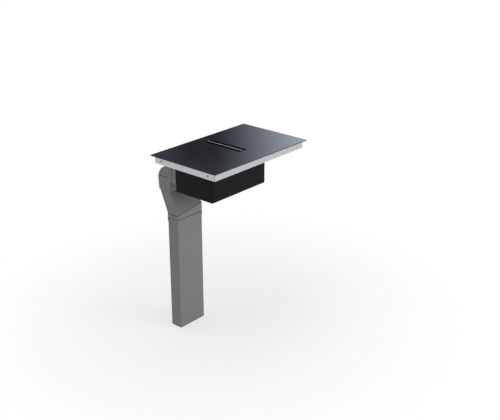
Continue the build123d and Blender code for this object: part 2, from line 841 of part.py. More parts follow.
# Floor cover, with a collared opening that the overflow basin slides into
basin_x = 6
basin_y = vent_y
basin_width = 98
basin_length = 248
basin_gap = 1
basin_wall = 1.6
basin_high = -160
basin_corner = 3.5
collar_high = -166
grip_width = 64
grip_depth = 22
grip_rise = 8
grip_bar = 5
with BuildPart() as base_cover:
    extrude(box_outline(0, box_low), amount=floor_sheet)
    with BuildSketch(Plane.XY.offset(housing_low)):
        with Locations((basin_x, basin_y)):
            outer = 2 * (basin_gap + box_wall)
            Rectangle(basin_width + outer, basin_length + outer)
    extrude(amount=collar_high - housing_low)
    with BuildSketch(Plane.XY.offset(box_low)):
        with Locations((basin_x, basin_y)):
            hole_width = basin_width + 2 * basin_gap
            RectangleRounded(hole_width, basin_length + 2 * basin_gap, basin_corner)
    extrude(amount=collar_high - box_low, mode=Mode.SUBTRACT)
    with BuildSketch(Plane.XY.offset(box_low)):
        with Locations(*boss_places):
            RegularPolygon(cover_screw_r + screw_play, small_sides)
    extrude(amount=floor_sheet, mode=Mode.SUBTRACT)
base_cover.part.label = "base_cover"
export_step(base_cover.part, "parts/base_cover.step")

cover_plane = Plane.XY.offset(box_low)
write_screws("base_cover_screws", cover_plane, boss_places, cover_screw_r, cover_screw_long)

# Overflow basin under the filter: a tray that pulls down by the grip in its floor
with BuildPart() as overflow_basin:
    with BuildSketch(Plane.XY.offset(box_low)):
        with Locations((basin_x, basin_y)):
            RectangleRounded(basin_width, basin_length, basin_corner)
    extrude(amount=basin_high - box_low)
    with BuildSketch(Plane.XY.offset(box_low + basin_wall)):
        with Locations((basin_x, basin_y)):
            Rectangle(basin_width - 2 * basin_wall, basin_length - 2 * basin_wall)
    extrude(amount=basin_high - box_low - basin_wall, mode=Mode.SUBTRACT)
    with BuildSketch(Plane.XY.offset(box_low)):
        with Locations((basin_x, basin_y)):
            Rectangle(grip_width + 2 * basin_wall, grip_depth + 2 * basin_wall)
    extrude(amount=grip_rise + basin_wall)
    with BuildSketch(Plane.XY.offset(box_low)):
        with Locations((basin_x, basin_y)):
            Rectangle(grip_width, grip_depth)
            Rectangle(grip_width, grip_bar, mode=Mode.SUBTRACT)
    extrude(amount=grip_rise, mode=Mode.SUBTRACT)
overflow_basin.part.label = "overflow_basin"
export_step(overflow_basin.part, "parts/overflow_basin.step")

# Arcs of the volute, from the tongue clockwise: centre, radius and start angle. Each
# quarter turn is one step larger than the last
half_step = volute_step / 2
volute_arcs = [
    ((fan_x + half_step, fan_y - half_step), volute_start, 90),
    ((fan_x - half_step, fan_y - half_step), volute_start + volute_step, 0),
    ((fan_x - half_step, fan_y + half_step), volute_start + 2 * volute_step, -90),
]
scroll_top = box_top - box_wall - fit_gap
scroll_wall = 2
scroll_back = box_back - box_wall


def volute_outline(inset, z):
    """The volute seen from above: three growing quarter arcs, and a straight outlet behind."""
    right = duct_right - inset
    first_centre, first_radius, _ = volute_arcs[0]
    reach = first_radius - inset
    tongue_y = first_centre[1] + sqrt(reach**2 - (right - first_centre[0]) ** 2)
    tongue_angle = degrees(atan2(tongue_y - first_centre[1], right - first_centre[0]))
    left = duct_left + inset
    with BuildSketch(Plane.XY.offset(z)) as outline:
        with BuildLine():
            CenterArc(first_centre, reach, tongue_angle, -tongue_angle)
            for centre, radius, start in volute_arcs[1:]:
                CenterArc(centre, radius - inset, start, -90)
            last_centre = volute_arcs[-1][0]
            Polyline(
                (left, last_centre[1]), (left, scroll_back), (right, scroll_back), (right, tongue_y)
            )
        make_face()
    return outline.sketch


# Volute of the blower: roof and spiral wall in one, with ears for the inlet plate's
# screws and three holes for the motor
ear_angles = (48, -45, -135)
ear_out = 4.5
ear_back_y = 62
ear_places = [
    (
        centre[0] + (radius + ear_out) * cos(radians(angle)),
        centre[1] + (radius + ear_out) * sin(radians(angle)),
    )
    for (centre, radius, _), angle in zip(volute_arcs, ear_angles)
]
ear_places.append((duct_right + ear_out, ear_back_y))
ear_r = 6
ear_high = 24
ear_screw_r = 1.75
ear_screw_long = 14
ear_hole_deep = 16
motor_bolt_r = 47
motor_bolt_count = 3
motor_screw_r = 1.8
with BuildPart() as scroll_body:
    extrude(volute_outline(0, throat_low), amount=scroll_top - throat_low)
    with BuildSketch(Plane.XY.offset(throat_low)):
        with Locations(*ear_places):
            RegularPolygon(ear_r, small_sides)
    extrude(amount=ear_high)
    extrude(
        volute_outline(scroll_wall, throat_low),
        amount=scroll_top - scroll_wall - throat_low,
        mode=Mode.SUBTRACT,
    )
    with BuildSketch(Plane.XY.offset(throat_low)):
        with Locations(*ear_places):
            RegularPolygon(ear_screw_r + thread_gap, small_sides)
    extrude(amount=ear_hole_deep, mode=Mode.SUBTRACT)
    with BuildSketch(Plane.XY.offset(scroll_top - scroll_wall)):
        with Locations((fan_x, fan_y)):
            with PolarLocations(motor_bolt_r, motor_bolt_count, rotate=False):
                RegularPolygon(motor_screw_r + thread_gap, small_sides)
    extrude(amount=scroll_wall, mode=Mode.SUBTRACT)
scroll_body.part.label = "scroll_body"
export_step(scroll_body.part, "parts/scroll_body.step")

# Inlet plate under the volute, with a bell mouth turned up into the fan wheel
mouth_r = 64
bell_round = 6
bell_high = -137
bell_rim = 1.5
bell_skirt = 0.5
with BuildPart() as scroll_inlet:
    extrude(volute_outline(0, outlet_low), amount=throat_low - outlet_low)
    with BuildSketch(Plane.XY.offset(outlet_low)):
        with Locations(*ear_places):
            RegularPolygon(ear_r, small_sides)
    extrude(amount=throat_low - outlet_low)
    with BuildSketch(Plane.XY.offset(outlet_low)):
        with Locations(*ear_places):
            RegularPolygon(ear_screw_r + screw_play, small_sides)
        with Locations((fan_x, fan_y)):
            Circle(mouth_r + bell_round)
    extrude(amount=throat_low - outlet_low, mode=Mode.SUBTRACT)
    with BuildSketch(Plane((fan_x, fan_y, 0), x_dir=(1, 0, 0), z_dir=(0, -1, 0))):
        with BuildLine():
            Polyline(
                (mouth_r + bell_round, outlet_low),
                (mouth_r + bell_round + bell_skirt, outlet_low),
                (mouth_r + bell_round + bell_skirt, throat_low),
                (mouth_r + bell_round, throat_low),
                (mouth_r + bell_round / 2, throat_low + bell_rim),
                (mouth_r + bell_rim, bell_high),
                (mouth_r, bell_high),
                (mouth_r + bell_rim, throat_low),
                close=True,
            )
        make_face()
    revolve(axis=Axis((fan_x, fan_y, 0), (0, 0, 1)))
scroll_inlet.part.label = "scroll_inlet"
export_step(scroll_inlet.part, "parts/scroll_inlet.step")

ear_plane = Plane.XY.offset(outlet_low)
write_screws("scroll_screws", ear_plane, ear_places, ear_screw_r, ear_screw_long)

# Motor: a flanged stator hung from the volute's roof on rubber bushes
bush_thick = 2
bush_r = 6
motor_hole_r = motor_screw_r + screw_play
motor_screw_long = 5.5
flange_thick = 2
flange_r = 53
stator_r = 36
stator_slots = 9
stator_slot_deep = 7
stator_slot_width = 4
stator_low = -90
shaft_r = 4
roof_low = scroll_top - scroll_wall
flange_low = roof_low - bush_thick - flange_thick
with BuildPart() as motor_bushes:
    with BuildSketch(Plane.XY.offset(roof_low - bush_thick)):
        with Locations((fan_x, fan_y)):
            with PolarLocations(motor_bolt_r, motor_bolt_count, rotate=False):
                RegularPolygon(bush_r, small_sides)
                RegularPolygon(motor_hole_r, small_sides, mode=Mode.SUBTRACT)
    extrude(amount=bush_thick)
motor_bushes.part.label = "motor_bushes"
export_step(motor_bushes.part, "parts/motor_bushes.step")

with BuildPart() as fan_motor:
    with BuildSketch(Plane.XY.offset(flange_low)):
        with Locations((fan_x, fan_y)):
            Circle(flange_r)
            with PolarLocations(motor_bolt_r, motor_bolt_count, rotate=False):
                RegularPolygon(motor_hole_r, small_sides, mode=Mode.SUBTRACT)
    extrude(amount=flange_thick)
    with BuildSketch(Plane.XY.offset(stator_low)):
        with Locations((fan_x, fan_y)):
            Circle(stator_r)
            with PolarLocations(stator_r, stator_slots):
                Rectangle(stator_slot_deep, stator_slot_width, mode=Mode.SUBTRACT)
    extrude(amount=flange_low - stator_low)
    with BuildSketch(Plane.XY.offset(stator_low)):
        with Locations((fan_x, fan_y)):
            Circle(shaft_r + running_gap)
    extrude(amount=flange_low - stator_low, mode=Mode.SUBTRACT)
fan_motor.part.label = "fan_motor"
export_step(fan_motor.part, "parts/fan_motor.step")

write_screws(
    "motor_screws",
    Plane((fan_x, fan_y, flange_low)),
    [
        (motor_bolt_r * cos(radians(turn)), motor_bolt_r * sin(radians(turn)))
        for turn in range(0, 360, 360 // motor_bolt_count)
    ],
    motor_screw_r,
    motor_screw_long,
)

# Rotor bell of the motor, with the shaft that runs in the stator
rotor_r = 42
bell_wall = 3.5
bell_floor = 2
bell_clear = 1.7
bell_top = flange_low - bell_clear
rotor_floor_low = -97
with BuildPart() as motor_rotor:
    with BuildSketch(Plane.XY.offset(rotor_floor_low)):
        with Locations((fan_x, fan_y)):
            Circle(rotor_r)
    extrude(amount=bell_top - rotor_floor_low)
    with BuildSketch(Plane.XY.offset(rotor_floor_low + bell_floor)):
        with Locations((fan_x, fan_y)):
            Circle(rotor_r - bell_wall)
            Circle(shaft_r, mode=Mode.SUBTRACT)
    extrude(amount=bell_top - rotor_floor_low - bell_floor, mode=Mode.SUBTRACT)
motor_rotor.part.label = "motor_rotor"
export_step(motor_rotor.part, "parts/motor_rotor.step")

# Fan wheel: a back plate with a cup over the rotor, forward-curved blades and an end
# ring. Each blade is a thin cupped strip whose outer edge leads in the direction of turn
wheel_top = -60
plate = 2
wheel_low = -136
cup_r = rotor_r + fit_gap
ring_inset = 1
blade_lead = 10
blade_thick = 1.1
blade_bulge = Vector(2.4, 2)
with BuildSketch() as blade_outline:
    with BuildLine():
        foot = Vector(wheel_inner_r, 0)
        tip = Vector(wheel_r - ring_inset, 0).rotate(Axis.Z, -blade_lead)
        front = [foot, (foot + tip) / 2 + blade_bulge, tip]
        thick_turn = degrees(blade_thick / wheel_inner_r)
        back = [point.rotate(Axis.Z, -thick_turn) for point in reversed(front)]
        Polyline(*front, *back, close=True)
    make_face()
with BuildPart() as impeller:
    with BuildSketch(Plane.XY.offset(wheel_top - plate)):
        with Locations((fan_x, fan_y)):
            Circle(wheel_r)
    extrude(amount=plate)
    with BuildSketch(Plane.XY.offset(rotor_floor_low - plate)):
        with Locations((fan_x, fan_y)):
            Circle(cup_r + plate)
    extrude(amount=wheel_top - rotor_floor_low)
    with BuildSketch(Plane.XY.offset(rotor_floor_low)):
        with Locations((fan_x, fan_y)):
            Circle(cup_r)
    extrude(amount=wheel_top - rotor_floor_low, mode=Mode.SUBTRACT)
    with BuildSketch(Plane.XY.offset(wheel_low)):
        with Locations((fan_x, fan_y)):
            Circle(wheel_r)
            Circle(wheel_inner_r - ring_inset, mode=Mode.SUBTRACT)
    extrude(amount=plate)
    with BuildSketch(Plane.XY.offset(wheel_low + plate)):
        with Locations((fan_x, fan_y)):
            with PolarLocations(0, blade_count):
                add(blade_outline.sketch)
    extrude(amount=wheel_top - 2 * plate - wheel_low)
impeller.part.label = "impeller"
export_step(impeller.part, "parts/impeller.step")

# Flat outlet on the back of the box: a tube with a flange that is screwed on below and
# beside it, a rib inside that the closed flap rests against, and two holes for its pin
flap_y = 96
flap_z = throat_high - 6.5
flap_thick = 1.6
pin_r = 1.5
stop_y = flap_y - flap_thick / 2 - fit_gap
stop_thick = 4
stop_rise = 3
with BuildPart() as outlet_spigot:
    with BuildSketch(Plane.XZ.offset(-box_back)):
        with Locations((duct_left, elbow_top)):
            spigot_flange = duct_width + flange_drop
            Rectangle(spigot_flange, elbow_leg + flange_drop, align=(Align.MIN, Align.MAX))
        with Locations((duct_x, (throat_low + throat_high) / 2)):
            Rectangle(throat_right - throat_left, throat_high - throat_low, mode=Mode.SUBTRACT)
    extrude(amount=-(flange_back - box_back))
    with BuildSketch(Plane.XZ.offset(-flange_back)):
        with Locations((duct_x, (throat_low + throat_high) / 2)):
            Rectangle(duct_width, elbow_leg)
            Rectangle(throat_right - throat_left, throat_high - throat_low, mode=Mode.SUBTRACT)
    extrude(amount=-(spigot_back - flange_back))
    with BuildSketch(Plane.XZ.offset(-stop_y)):
        with Locations((duct_x, throat_low)):
            stop_width = throat_right - throat_left
            Rectangle(stop_width, stop_rise, align=(Align.CENTER, Align.MIN))
    extrude(amount=stop_thick)
    with BuildSketch(Plane.XZ.offset(-box_back)):
        with Locations(*spigot_screw_places):
            RegularPolygon(spigot_screw_r + screw_play, small_sides)
    extrude(amount=-(flange_back - box_back), mode=Mode.SUBTRACT)
    with BuildSketch(Plane.YZ.offset(duct_left)):
        with Locations((flap_y, flap_z)):
            Circle(pin_r + running_gap)
    extrude(amount=duct_width, mode=Mode.SUBTRACT)
outlet_spigot.part.label = "outlet_spigot"
export_step(outlet_spigot.part, "parts/outlet_spigot.step")

spigot_screw_long = 7.5
spigot_plane = Plane.XZ.offset(-flange_back)
write_screws(
    "spigot_screws", spigot_plane, spigot_screw_places, spigot_screw_r, spigot_screw_long
)

# Non-return flap: a ribbed plate with a knuckle along its top edge, on a steel pin
flap_gap = 1
knuckle_r = 3
pin_fit = 0.02
pin_inset = 0.5
flap_rib_thick = 1.2
flap_rib_high = 2.4
flap_rib_inset = 6
flap_clear = 1.5
flap_drop = flap_z - throat_low - flap_clear
flap_width = throat_right - throat_left - 2 * flap_gap
with BuildPart() as return_flap:
    with BuildSketch(Plane.YZ.offset(throat_left + flap_gap)):
        with Locations((flap_y, flap_z)):
            Circle(knuckle_r)
            Rectangle(flap_thick, flap_drop, align=(Align.CENTER, Align.MAX))
            Circle(pin_r + pin_fit, mode=Mode.SUBTRACT)
    extrude(amount=flap_width)
    with BuildSketch(Plane.XY.offset(flap_z - flap_drop + flap_rib_inset)):
        with Locations((duct_x, flap_y + flap_thick / 2)):
            with GridLocations(flap_width / 4, 0, 3, 1):
                Rectangle(flap_rib_thick, flap_rib_high, align=(Align.CENTER, Align.MIN))
    extrude(amount=flap_drop - 2 * flap_rib_inset)
return_flap.part.label = "return_flap"
export_step(return_flap.part, "parts/return_flap.step")

with BuildPart() as flap_pin:
    with BuildSketch(Plane.YZ.offset(duct_left + pin_inset)):
        with Locations((flap_y, flap_z)):
            Circle(pin_r)
    extrude(amount=duct_width - 2 * pin_inset)
flap_pin.part.label = "flap_pin"
export_step(flap_pin.part, "parts/flap_pin.step")

# Sleeve over the joint of outlet and elbow, with a groove round its middle
sleeve_front = 84
sleeve_back = 136
sleeve_gap = 0.2
sleeve_proud = 1.6
sleeve_corner = 2
groove_y = 114
groove_width = 2
groove_deep = 0.8
with BuildPart() as elbow_sleeve:
    for start, stop in (
        (sleeve_front, groove_y),
        (groove_y + groove_width, sleeve_back),
    ):
        with BuildSketch(Plane.XZ.offset(-start)):
            with Locations((duct_x, elbow_top - elbow_leg / 2)):
                band = 2 * sleeve_proud
                RectangleRounded(duct_width + band, elbow_leg + band, sleeve_corner)
        extrude(amount=-(stop - start))
    with BuildSketch(Plane.XZ.offset(-groove_y)):
        with Locations((duct_x, elbow_top - elbow_leg / 2)):
            groove = 2 * (sleeve_proud - groove_deep)
            Rectangle(duct_width + groove, elbow_leg + groove)
    extrude(amount=-groove_width)
    with BuildSketch(Plane.XZ.offset(-sleeve_front)):
        with Locations((duct_x, elbow_top - elbow_leg / 2)):
            Rectangle(duct_width + 2 * sleeve_gap, elbow_leg + 2 * sleeve_gap)
    extrude(amount=-(sleeve_back - sleeve_front), mode=Mode.SUBTRACT)
elbow_sleeve.part.label = "elbow_sleeve"
export_step(elbow_sleeve.part, "parts/elbow_sleeve.step")

# Elbow: a stub in the sleeve, a quarter bend and a leg that tapers on its way down. The
# bend and the leg's socket stand proud of it, with an open joint above the socket
elbow_front = spigot_back + 1
leg_front = 138
leg_back = 224
heel_round = 1
bend_front = sleeve_back + 2.5
bend_low = elbow_top - bend_r
joint_gap = 3
socket_high = bend_low - joint_gap


def elbow_outline(inset):
    """Side view of the elbow, drawn in by the inset on all walls but not at its two open ends."""
    with BuildSketch(Plane.YZ.offset(duct_left + inset)) as outline:
        with BuildLine():
            Line((elbow_front, elbow_top - inset), (bend_y, elbow_top - inset))
            CenterArc((bend_y, bend_low), bend_r - inset, 90, -90)
            Polyline(
                (bend_y + bend_r - inset, bend_low),
                (leg_back - inset, elbow_low),
                (leg_front + inset, elbow_low),
                (leg_front + inset, outlet_low + inset),
                (elbow_front, outlet_low + inset),
                (elbow_front, elbow_top - inset),
            )
        make_face()
        heel = outline.vertices().sort_by_distance((leg_front + inset, outlet_low + inset, 0))[0]
        fillet(heel, heel_round + inset)
    return outline.sketch


with BuildPart() as duct_elbow:
    extrude(elbow_outline(0), amount=duct_width)
    with BuildSketch(Plane.YZ.offset(duct_left - sleeve_proud)):
        with BuildLine():
            bend_high = elbow_top + sleeve_proud
            Line((bend_front, bend_high), (bend_y, bend_high))
            CenterArc((bend_y, bend_low), bend_r + sleeve_proud, 90, -90)
            Polyline(
                (bend_y + bend_r + sleeve_proud, bend_low),
                (bend_front, bend_low),
                (bend_front, bend_high),
            )
        make_face()
    extrude(amount=duct_width + 2 * sleeve_proud)
    with BuildSketch(Plane.YZ.offset(duct_left - sleeve_proud)):
        with BuildLine():
            Polyline(
                (leg_front - sleeve_proud, socket_high),
                (bend_y + bend_r + sleeve_proud, socket_high),
                (leg_back + sleeve_proud, elbow_low),
                (leg_front - sleeve_proud, elbow_low),
                close=True,
            )
        make_face()
    extrude(amount=duct_width + 2 * sleeve_proud)
    extrude(elbow_outline(duct_wall), amount=duct_width - 2 * duct_wall, mode=Mode.SUBTRACT)
duct_elbow.part.label = "duct_elbow"
export_step(duct_elbow.part, "parts/duct_elbow.step")

# Offset piece: it carries the air forward to the duct. Its front wall is folded along a
# slanting crease, which is where a leaning plane cuts the upright one
neck_front = 140.3
neck_back = 221.7
neck_high = -175
shoulder_z = elbow_low - 1
shoulder_back = 222
knee_back = 175
knee_z = -320
band_proud = 2
band_corner = 4
foot_back = duct_back + band_proud
crease_left_z = -349
crease_right_z = -313
adapter_round = 5
neck_gap = 0.3
seat_high = 3
joint_edge = 0.8
crease_start = Vector(duct_left, duct_front, crease_left_z)
crease_run = Vector(duct_right, duct_front, crease_right_z) - crease_start
crease_rise = Vector(duct_left, neck_front, shoulder_z) - crease_start
crease_plane = Plane(crease_start, x_dir=crease_run, z_dir=crease_run.cross(crease_rise))


def adapter_body(inset):
    """The offset piece without its ends: a bent prism, cut back by the leaning plane."""
    with BuildPart() as body:
        with BuildSketch(Plane.YZ.offset(duct_left + inset)):
            with BuildLine():
                Polyline(
                    (neck_front + inset, shoulder_z),
                    (shoulder_back - inset, shoulder_z),
                    (knee_back - inset, knee_z),
                    (foot_back - inset, adapter_low),
                    (duct_front + inset, adapter_low),
                    (duct_front + inset, crease_right_z),
                    close=True,
                )
            make_face()
        extrude(amount=duct_width - 2 * inset)
        split(bisect_by=crease_plane.offset(-inset), keep=Keep.BOTTOM)
    return body.part


# Band round the foot of the offset piece, which holds the socket. Its top edge rises
# from left to right along the crease
neck_width_x = throat_right - throat_left - 2 * neck_gap
socket_width = duct_width + 2 * sleeve_gap
socket_depth = duct_back - duct_front + 2 * sleeve_gap
bore_depth = duct_back - duct_front - 2 * duct_wall
band_plane = Plane(crease_start, x_dir=crease_run, z_dir=crease_run.cross(Vector(0, 1, 0)))
with BuildPart() as socket_band:
    with BuildSketch(Plane.XY.offset(collar_split)):
        with Locations((duct_x, duct_y)):
            band_width = duct_width + 2 * band_proud
            band_depth = duct_back - duct_front + 2 * band_proud
            RectangleRounded(band_width, band_depth, band_corner)
    extrude(amount=crease_right_z + band_proud - collar_split)
    split(bisect_by=band_plane, keep=Keep.BOTTOM)
    chamfer(socket_band.faces().sort_by(Axis.Z)[0].edges(), joint_edge)

with BuildPart() as duct_adapter:
    add(adapter_body(0))
    fillet(
        duct_adapter.edges().filter_by(lambda edge: abs(edge.tangent_at(0.5).Z) > 0.6),
        adapter_round,
    )
    with BuildSketch(Plane.XY.offset(shoulder_z)):
        with Locations((duct_x, (neck_front + neck_back) / 2)):
            Rectangle(neck_width_x, neck_back - neck_front)
    extrude(amount=neck_high - shoulder_z)
    add(socket_band.part)
    add(adapter_body(duct_wall), mode=Mode.SUBTRACT)
    with BuildSketch(Plane.XY.offset(shoulder_z - 1)):
        with Locations((duct_x, (neck_front + shoulder_back) / 2)):
            passage = shoulder_back - neck_front - 2 * duct_wall
            Rectangle(neck_width_x - 2 * duct_wall, passage)
    extrude(amount=neck_high - shoulder_z + 1, mode=Mode.SUBTRACT)
    with BuildSketch(Plane.XY.offset(collar_split)):
        with Locations((duct_x, duct_y)):
            Rectangle(socket_width, socket_depth)
    extrude(amount=adapter_low - collar_split - seat_high, mode=Mode.SUBTRACT)
    with BuildSketch(Plane.XY.offset(adapter_low - seat_high)):
        with Locations((duct_x, duct_y)):
            Rectangle(duct_width - 2 * duct_wall, bore_depth)
    extrude(amount=seat_high, mode=Mode.SUBTRACT)
duct_adapter.part.label = "duct_adapter"
export_step(duct_adapter.part, "parts/duct_adapter.step")

# Collar that closes the joint, and the straight flat duct down through the floor
collar_gap = 1
collar_corner = 6
duct_corner = 2.5
with BuildPart() as duct_collar:
    with BuildSketch(Plane.XY.offset(collar_low)):
        with Locations((duct_x, duct_y)):
            collar_width = duct_width + 2 * collar_proud
            collar_depth = duct_back - duct_front + 2 * collar_proud
            RectangleRounded(collar_width, collar_depth, collar_corner)
            Rectangle(socket_width, socket_depth, mode=Mode.SUBTRACT)
    extrude(amount=collar_split - collar_gap - collar_low)
    chamfer(duct_collar.faces().sort_by(Axis.Z)[-1].outer_wire().edges(), joint_edge)
duct_collar.part.label = "duct_collar"
export_step(duct_collar.part, "parts/duct_collar.step")

with BuildPart() as flat_duct:
    with BuildSketch(Plane.XY.offset(duct_low)):
        with Locations((duct_x, duct_y)):
            RectangleRounded(duct_width, duct_back - duct_front, duct_corner)
            Rectangle(duct_width - 2 * duct_wall, bore_depth, mode=Mode.SUBTRACT)
    extrude(amount=adapter_low - seat_high - cassette_gap - duct_low)
flat_duct.part.label = "flat_duct"
export_step(flat_duct.part, "parts/flat_duct.step")

# Driver electronics of the blower, in the front of the wing
driver_x = 2
driver_y = -163
driver_width = 84
driver_depth = 72
driver_high = 26
driver_corner = 4
driver_edge = 2
plug_count = 3
plug_pitch = 24
plug_width = 16
plug_high = 10
plug_long = 6
with BuildPart() as blower_control_box:
    with BuildSketch(Plane.XY.offset(box_top - box_wall)):
        with Locations((driver_x, driver_y)):
            RectangleRounded(driver_width, driver_depth, driver_corner)
    extrude(amount=-driver_high)
    chamfer(blower_control_box.faces().sort_by(Axis.Z)[0].edges(), driver_edge)
    with BuildSketch(Plane.XZ.offset(-driver_y - driver_depth / 2)):
        with Locations((driver_x, box_top - box_wall - driver_high / 2)):
            with GridLocations(plug_pitch, 0, plug_count, 1):
                Rectangle(plug_width, plug_high)
    extrude(amount=-plug_long)
blower_control_box.part.label = "blower_control_box"
export_step(blower_control_box.part, "parts/blower_control_box.step")
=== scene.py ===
import json
import math

import bmesh
import bpy
import numpy as np
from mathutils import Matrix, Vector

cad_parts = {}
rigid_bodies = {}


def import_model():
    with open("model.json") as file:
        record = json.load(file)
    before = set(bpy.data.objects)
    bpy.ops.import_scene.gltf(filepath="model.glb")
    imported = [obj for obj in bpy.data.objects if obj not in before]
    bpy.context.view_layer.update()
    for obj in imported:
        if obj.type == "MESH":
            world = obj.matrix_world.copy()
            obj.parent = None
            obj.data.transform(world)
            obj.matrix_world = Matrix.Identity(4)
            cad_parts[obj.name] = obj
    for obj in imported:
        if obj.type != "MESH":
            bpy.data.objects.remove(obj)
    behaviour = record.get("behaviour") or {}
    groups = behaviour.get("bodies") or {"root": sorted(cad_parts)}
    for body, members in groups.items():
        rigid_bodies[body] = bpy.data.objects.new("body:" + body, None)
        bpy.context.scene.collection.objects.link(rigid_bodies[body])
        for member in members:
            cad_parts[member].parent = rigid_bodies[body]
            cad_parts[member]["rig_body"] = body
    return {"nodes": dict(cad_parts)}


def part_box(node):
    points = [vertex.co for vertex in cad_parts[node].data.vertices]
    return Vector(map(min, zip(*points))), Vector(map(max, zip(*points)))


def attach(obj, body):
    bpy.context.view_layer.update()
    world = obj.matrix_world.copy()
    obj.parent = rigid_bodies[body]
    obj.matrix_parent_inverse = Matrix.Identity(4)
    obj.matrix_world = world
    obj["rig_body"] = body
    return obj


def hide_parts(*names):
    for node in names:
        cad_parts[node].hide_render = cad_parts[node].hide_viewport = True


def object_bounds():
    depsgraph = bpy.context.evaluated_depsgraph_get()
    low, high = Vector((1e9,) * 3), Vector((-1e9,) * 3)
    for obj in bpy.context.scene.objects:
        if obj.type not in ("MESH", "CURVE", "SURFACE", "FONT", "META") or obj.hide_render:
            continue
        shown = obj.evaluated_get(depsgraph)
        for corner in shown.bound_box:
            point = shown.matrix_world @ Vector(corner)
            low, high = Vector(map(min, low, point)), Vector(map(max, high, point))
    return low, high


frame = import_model()
cad_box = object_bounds()
scene = bpy.context.scene
scene.view_settings.view_transform = "Standard"

# The photographer's place: front left of the hob and above it, looking down on its front
# left corner. The picture plane is square to the line of sight, with no shift.
photo_width_px = 500
focal_px = 880
camera_spot = (-3.711, -3.381, 1.687)
camera_turn = math.radians(49.0)
camera_tilt = math.radians(22.61)
sight_reach = 60
lens = bpy.data.cameras.new("photographer")
lens.sensor_width = 36
lens.lens = lens.sensor_width * focal_px / photo_width_px
lens.clip_end = sight_reach
camera = bpy.data.objects.new("photographer", lens)
camera.location = camera_spot
camera.rotation_euler = (math.radians(90) - camera_tilt, 0, -camera_turn)
scene.collection.objects.link(camera)
scene.camera = camera


class Wire:
    """One socket among a shader's nodes. Arithmetic on wires adds Math nodes."""

    def __init__(self, tree, socket=None):
        self.tree = tree
        self.socket = socket

    def node(self, kind, sockets=None, out=0, stops=None, **settings):
        """A new node. Its settings and ramp stops come first, then its sockets' values or links."""
        made = self.tree.nodes.new(kind)
        for name, value in settings.items():
            setattr(made, name, value)
        for step, (place, shade) in enumerate(stops or ()):
            ramp = made.color_ramp.elements
            element = ramp[step] if step < 2 else ramp.new(place)
            element.position, element.color = place, (*shade, 1)
        for name, value in (sockets or {}).items():
            if isinstance(value, Wire):
                self.tree.links.new(value.socket, made.inputs[name])
            else:
                made.inputs[name].default_value = value
        return Wire(self.tree, made.outputs[out] if made.outputs else None)

    def math(self, operation, *values):
        """One Math node on these values or wires."""
        return self.node("ShaderNodeMath", dict(enumerate(values)), operation=operation)

    def part(self, index):
        """One of the three numbers of a vector."""
        return self.node("ShaderNodeSeparateXYZ", {0: self}, out=index)

    def ramp(self, low, high, start=0.0, stop=1.0):
        """This value carried from low..high to start..stop on a smooth step."""
        ends = {"Value": self, "From Min": low, "From Max": high, "To Min": start, "To Max": stop}
        return self.node("ShaderNodeMapRange", ends, interpolation_type="SMOOTHSTEP")

    def tint(self, low, high):
        """A colour that goes from low to high as this value goes from 0 to 1."""
        share, first, second, mixed = 0, 6, 7, 2
        ends = [end if isinstance(end, Wire) else (*end, 1) for end in (low, high)]
        sockets = {share: self, first: ends[0], second: ends[1]}
        return self.node("ShaderNodeMix", sockets, out=mixed, data_type="RGBA")

    def band(self, low, high, soft=0.0003):
        """One where this value is between low and high, fading to zero past them."""
        return self.ramp(low - soft, low) * (1 - self.ramp(high, high + soft))

    def noise(self, scale, detail=2.0, stretch=(1, 1, 1)):
        """Cloudy noise from 0 to 1, with this many lumps in a metre, drawn out along an axis."""
        drawn = self.node("ShaderNodeMapping", {"Vector": self, "Scale": stretch})
        sockets = {"Vector": drawn, "Scale": scale, "Detail": detail}
        return self.node("ShaderNodeTexNoise", sockets)

    def spread(self, start, stop):
        """A noise's values, which lie mostly from 0.2 to 0.8, carried to start..stop."""
        return self.ramp(0.2, 0.8, start, stop)

    def __add__(self, other):
        return self.math("ADD", self, other)

    def __sub__(self, other):
        return self.math("SUBTRACT", self, other)

    def __rsub__(self, other):
        return self.math("SUBTRACT", other, self)

    def __mul__(self, other):
        return self.math("MULTIPLY", self, other)

    __radd__ = __add__
    __rmul__ = __mul__


# The studio: white to the camera, an even fill for matt surfaces, and for reflections walls
# that are pale on the right and dark behind. Each rise, fall or glow is a smooth step by
# bearing or height: its low and high end, and what it starts and stops at.
fill_level = 0.58
wall_dark = 0.075
wall_pale = 1.75
wall_climb = 2.45
right_rise = (math.radians(46.2), math.radians(56.2), wall_dark, wall_dark + wall_climb)
front_fall = (math.radians(85), math.radians(150), 0, 0.75 * wall_pale)
left_rise = (math.radians(10), math.radians(80), 0, 1.1)
upper_rise = (0.325, 0.345, 0, 0.085)
back_glow = (math.radians(43), math.radians(45), 0.1, 0)
ceiling_rise = (0.5, 0.9)
mirror_tone = (0.80, 0.87, 1.04)
world = bpy.data.worlds.new("studio")
world.use_nodes = True
world.node_tree.nodes.clear()
air = Wire(world.node_tree)
way = air.node("ShaderNodeTexCoord", out="Generated")
bearing = air.math("ARCTAN2", way.part(0), way.part(1))
walls = air.math("MINIMUM", bearing.ramp(*right_rise), wall_pale)
walls = walls - bearing.ramp(*front_fall)
walls = walls + (0 - bearing).ramp(*left_rise)
walls = walls + way.part(2).ramp(*upper_rise) + bearing.ramp(*back_glow)
walls = air.math("MINIMUM", walls + way.part(2).ramp(*ceiling_rise), wall_pale)
mirrored = air.node("ShaderNodeLightPath", out="Is Glossy Ray")
seen = air.node("ShaderNodeLightPath", out="Is Camera Ray")
through = air.node("ShaderNodeLightPath", out="Is Transmission Ray")
level = mirrored * walls + (1 - mirrored) * fill_level
level = air.math("MAXIMUM", level, air.math("MAXIMUM", seen, through))
tone = mirrored.tint((1, 1, 1), mirror_tone)
glow = air.node("ShaderNodeBackground", {"Color": tone, "Strength": level})
air.node("ShaderNodeOutputWorld", {"Surface": glow})
scene.world = world

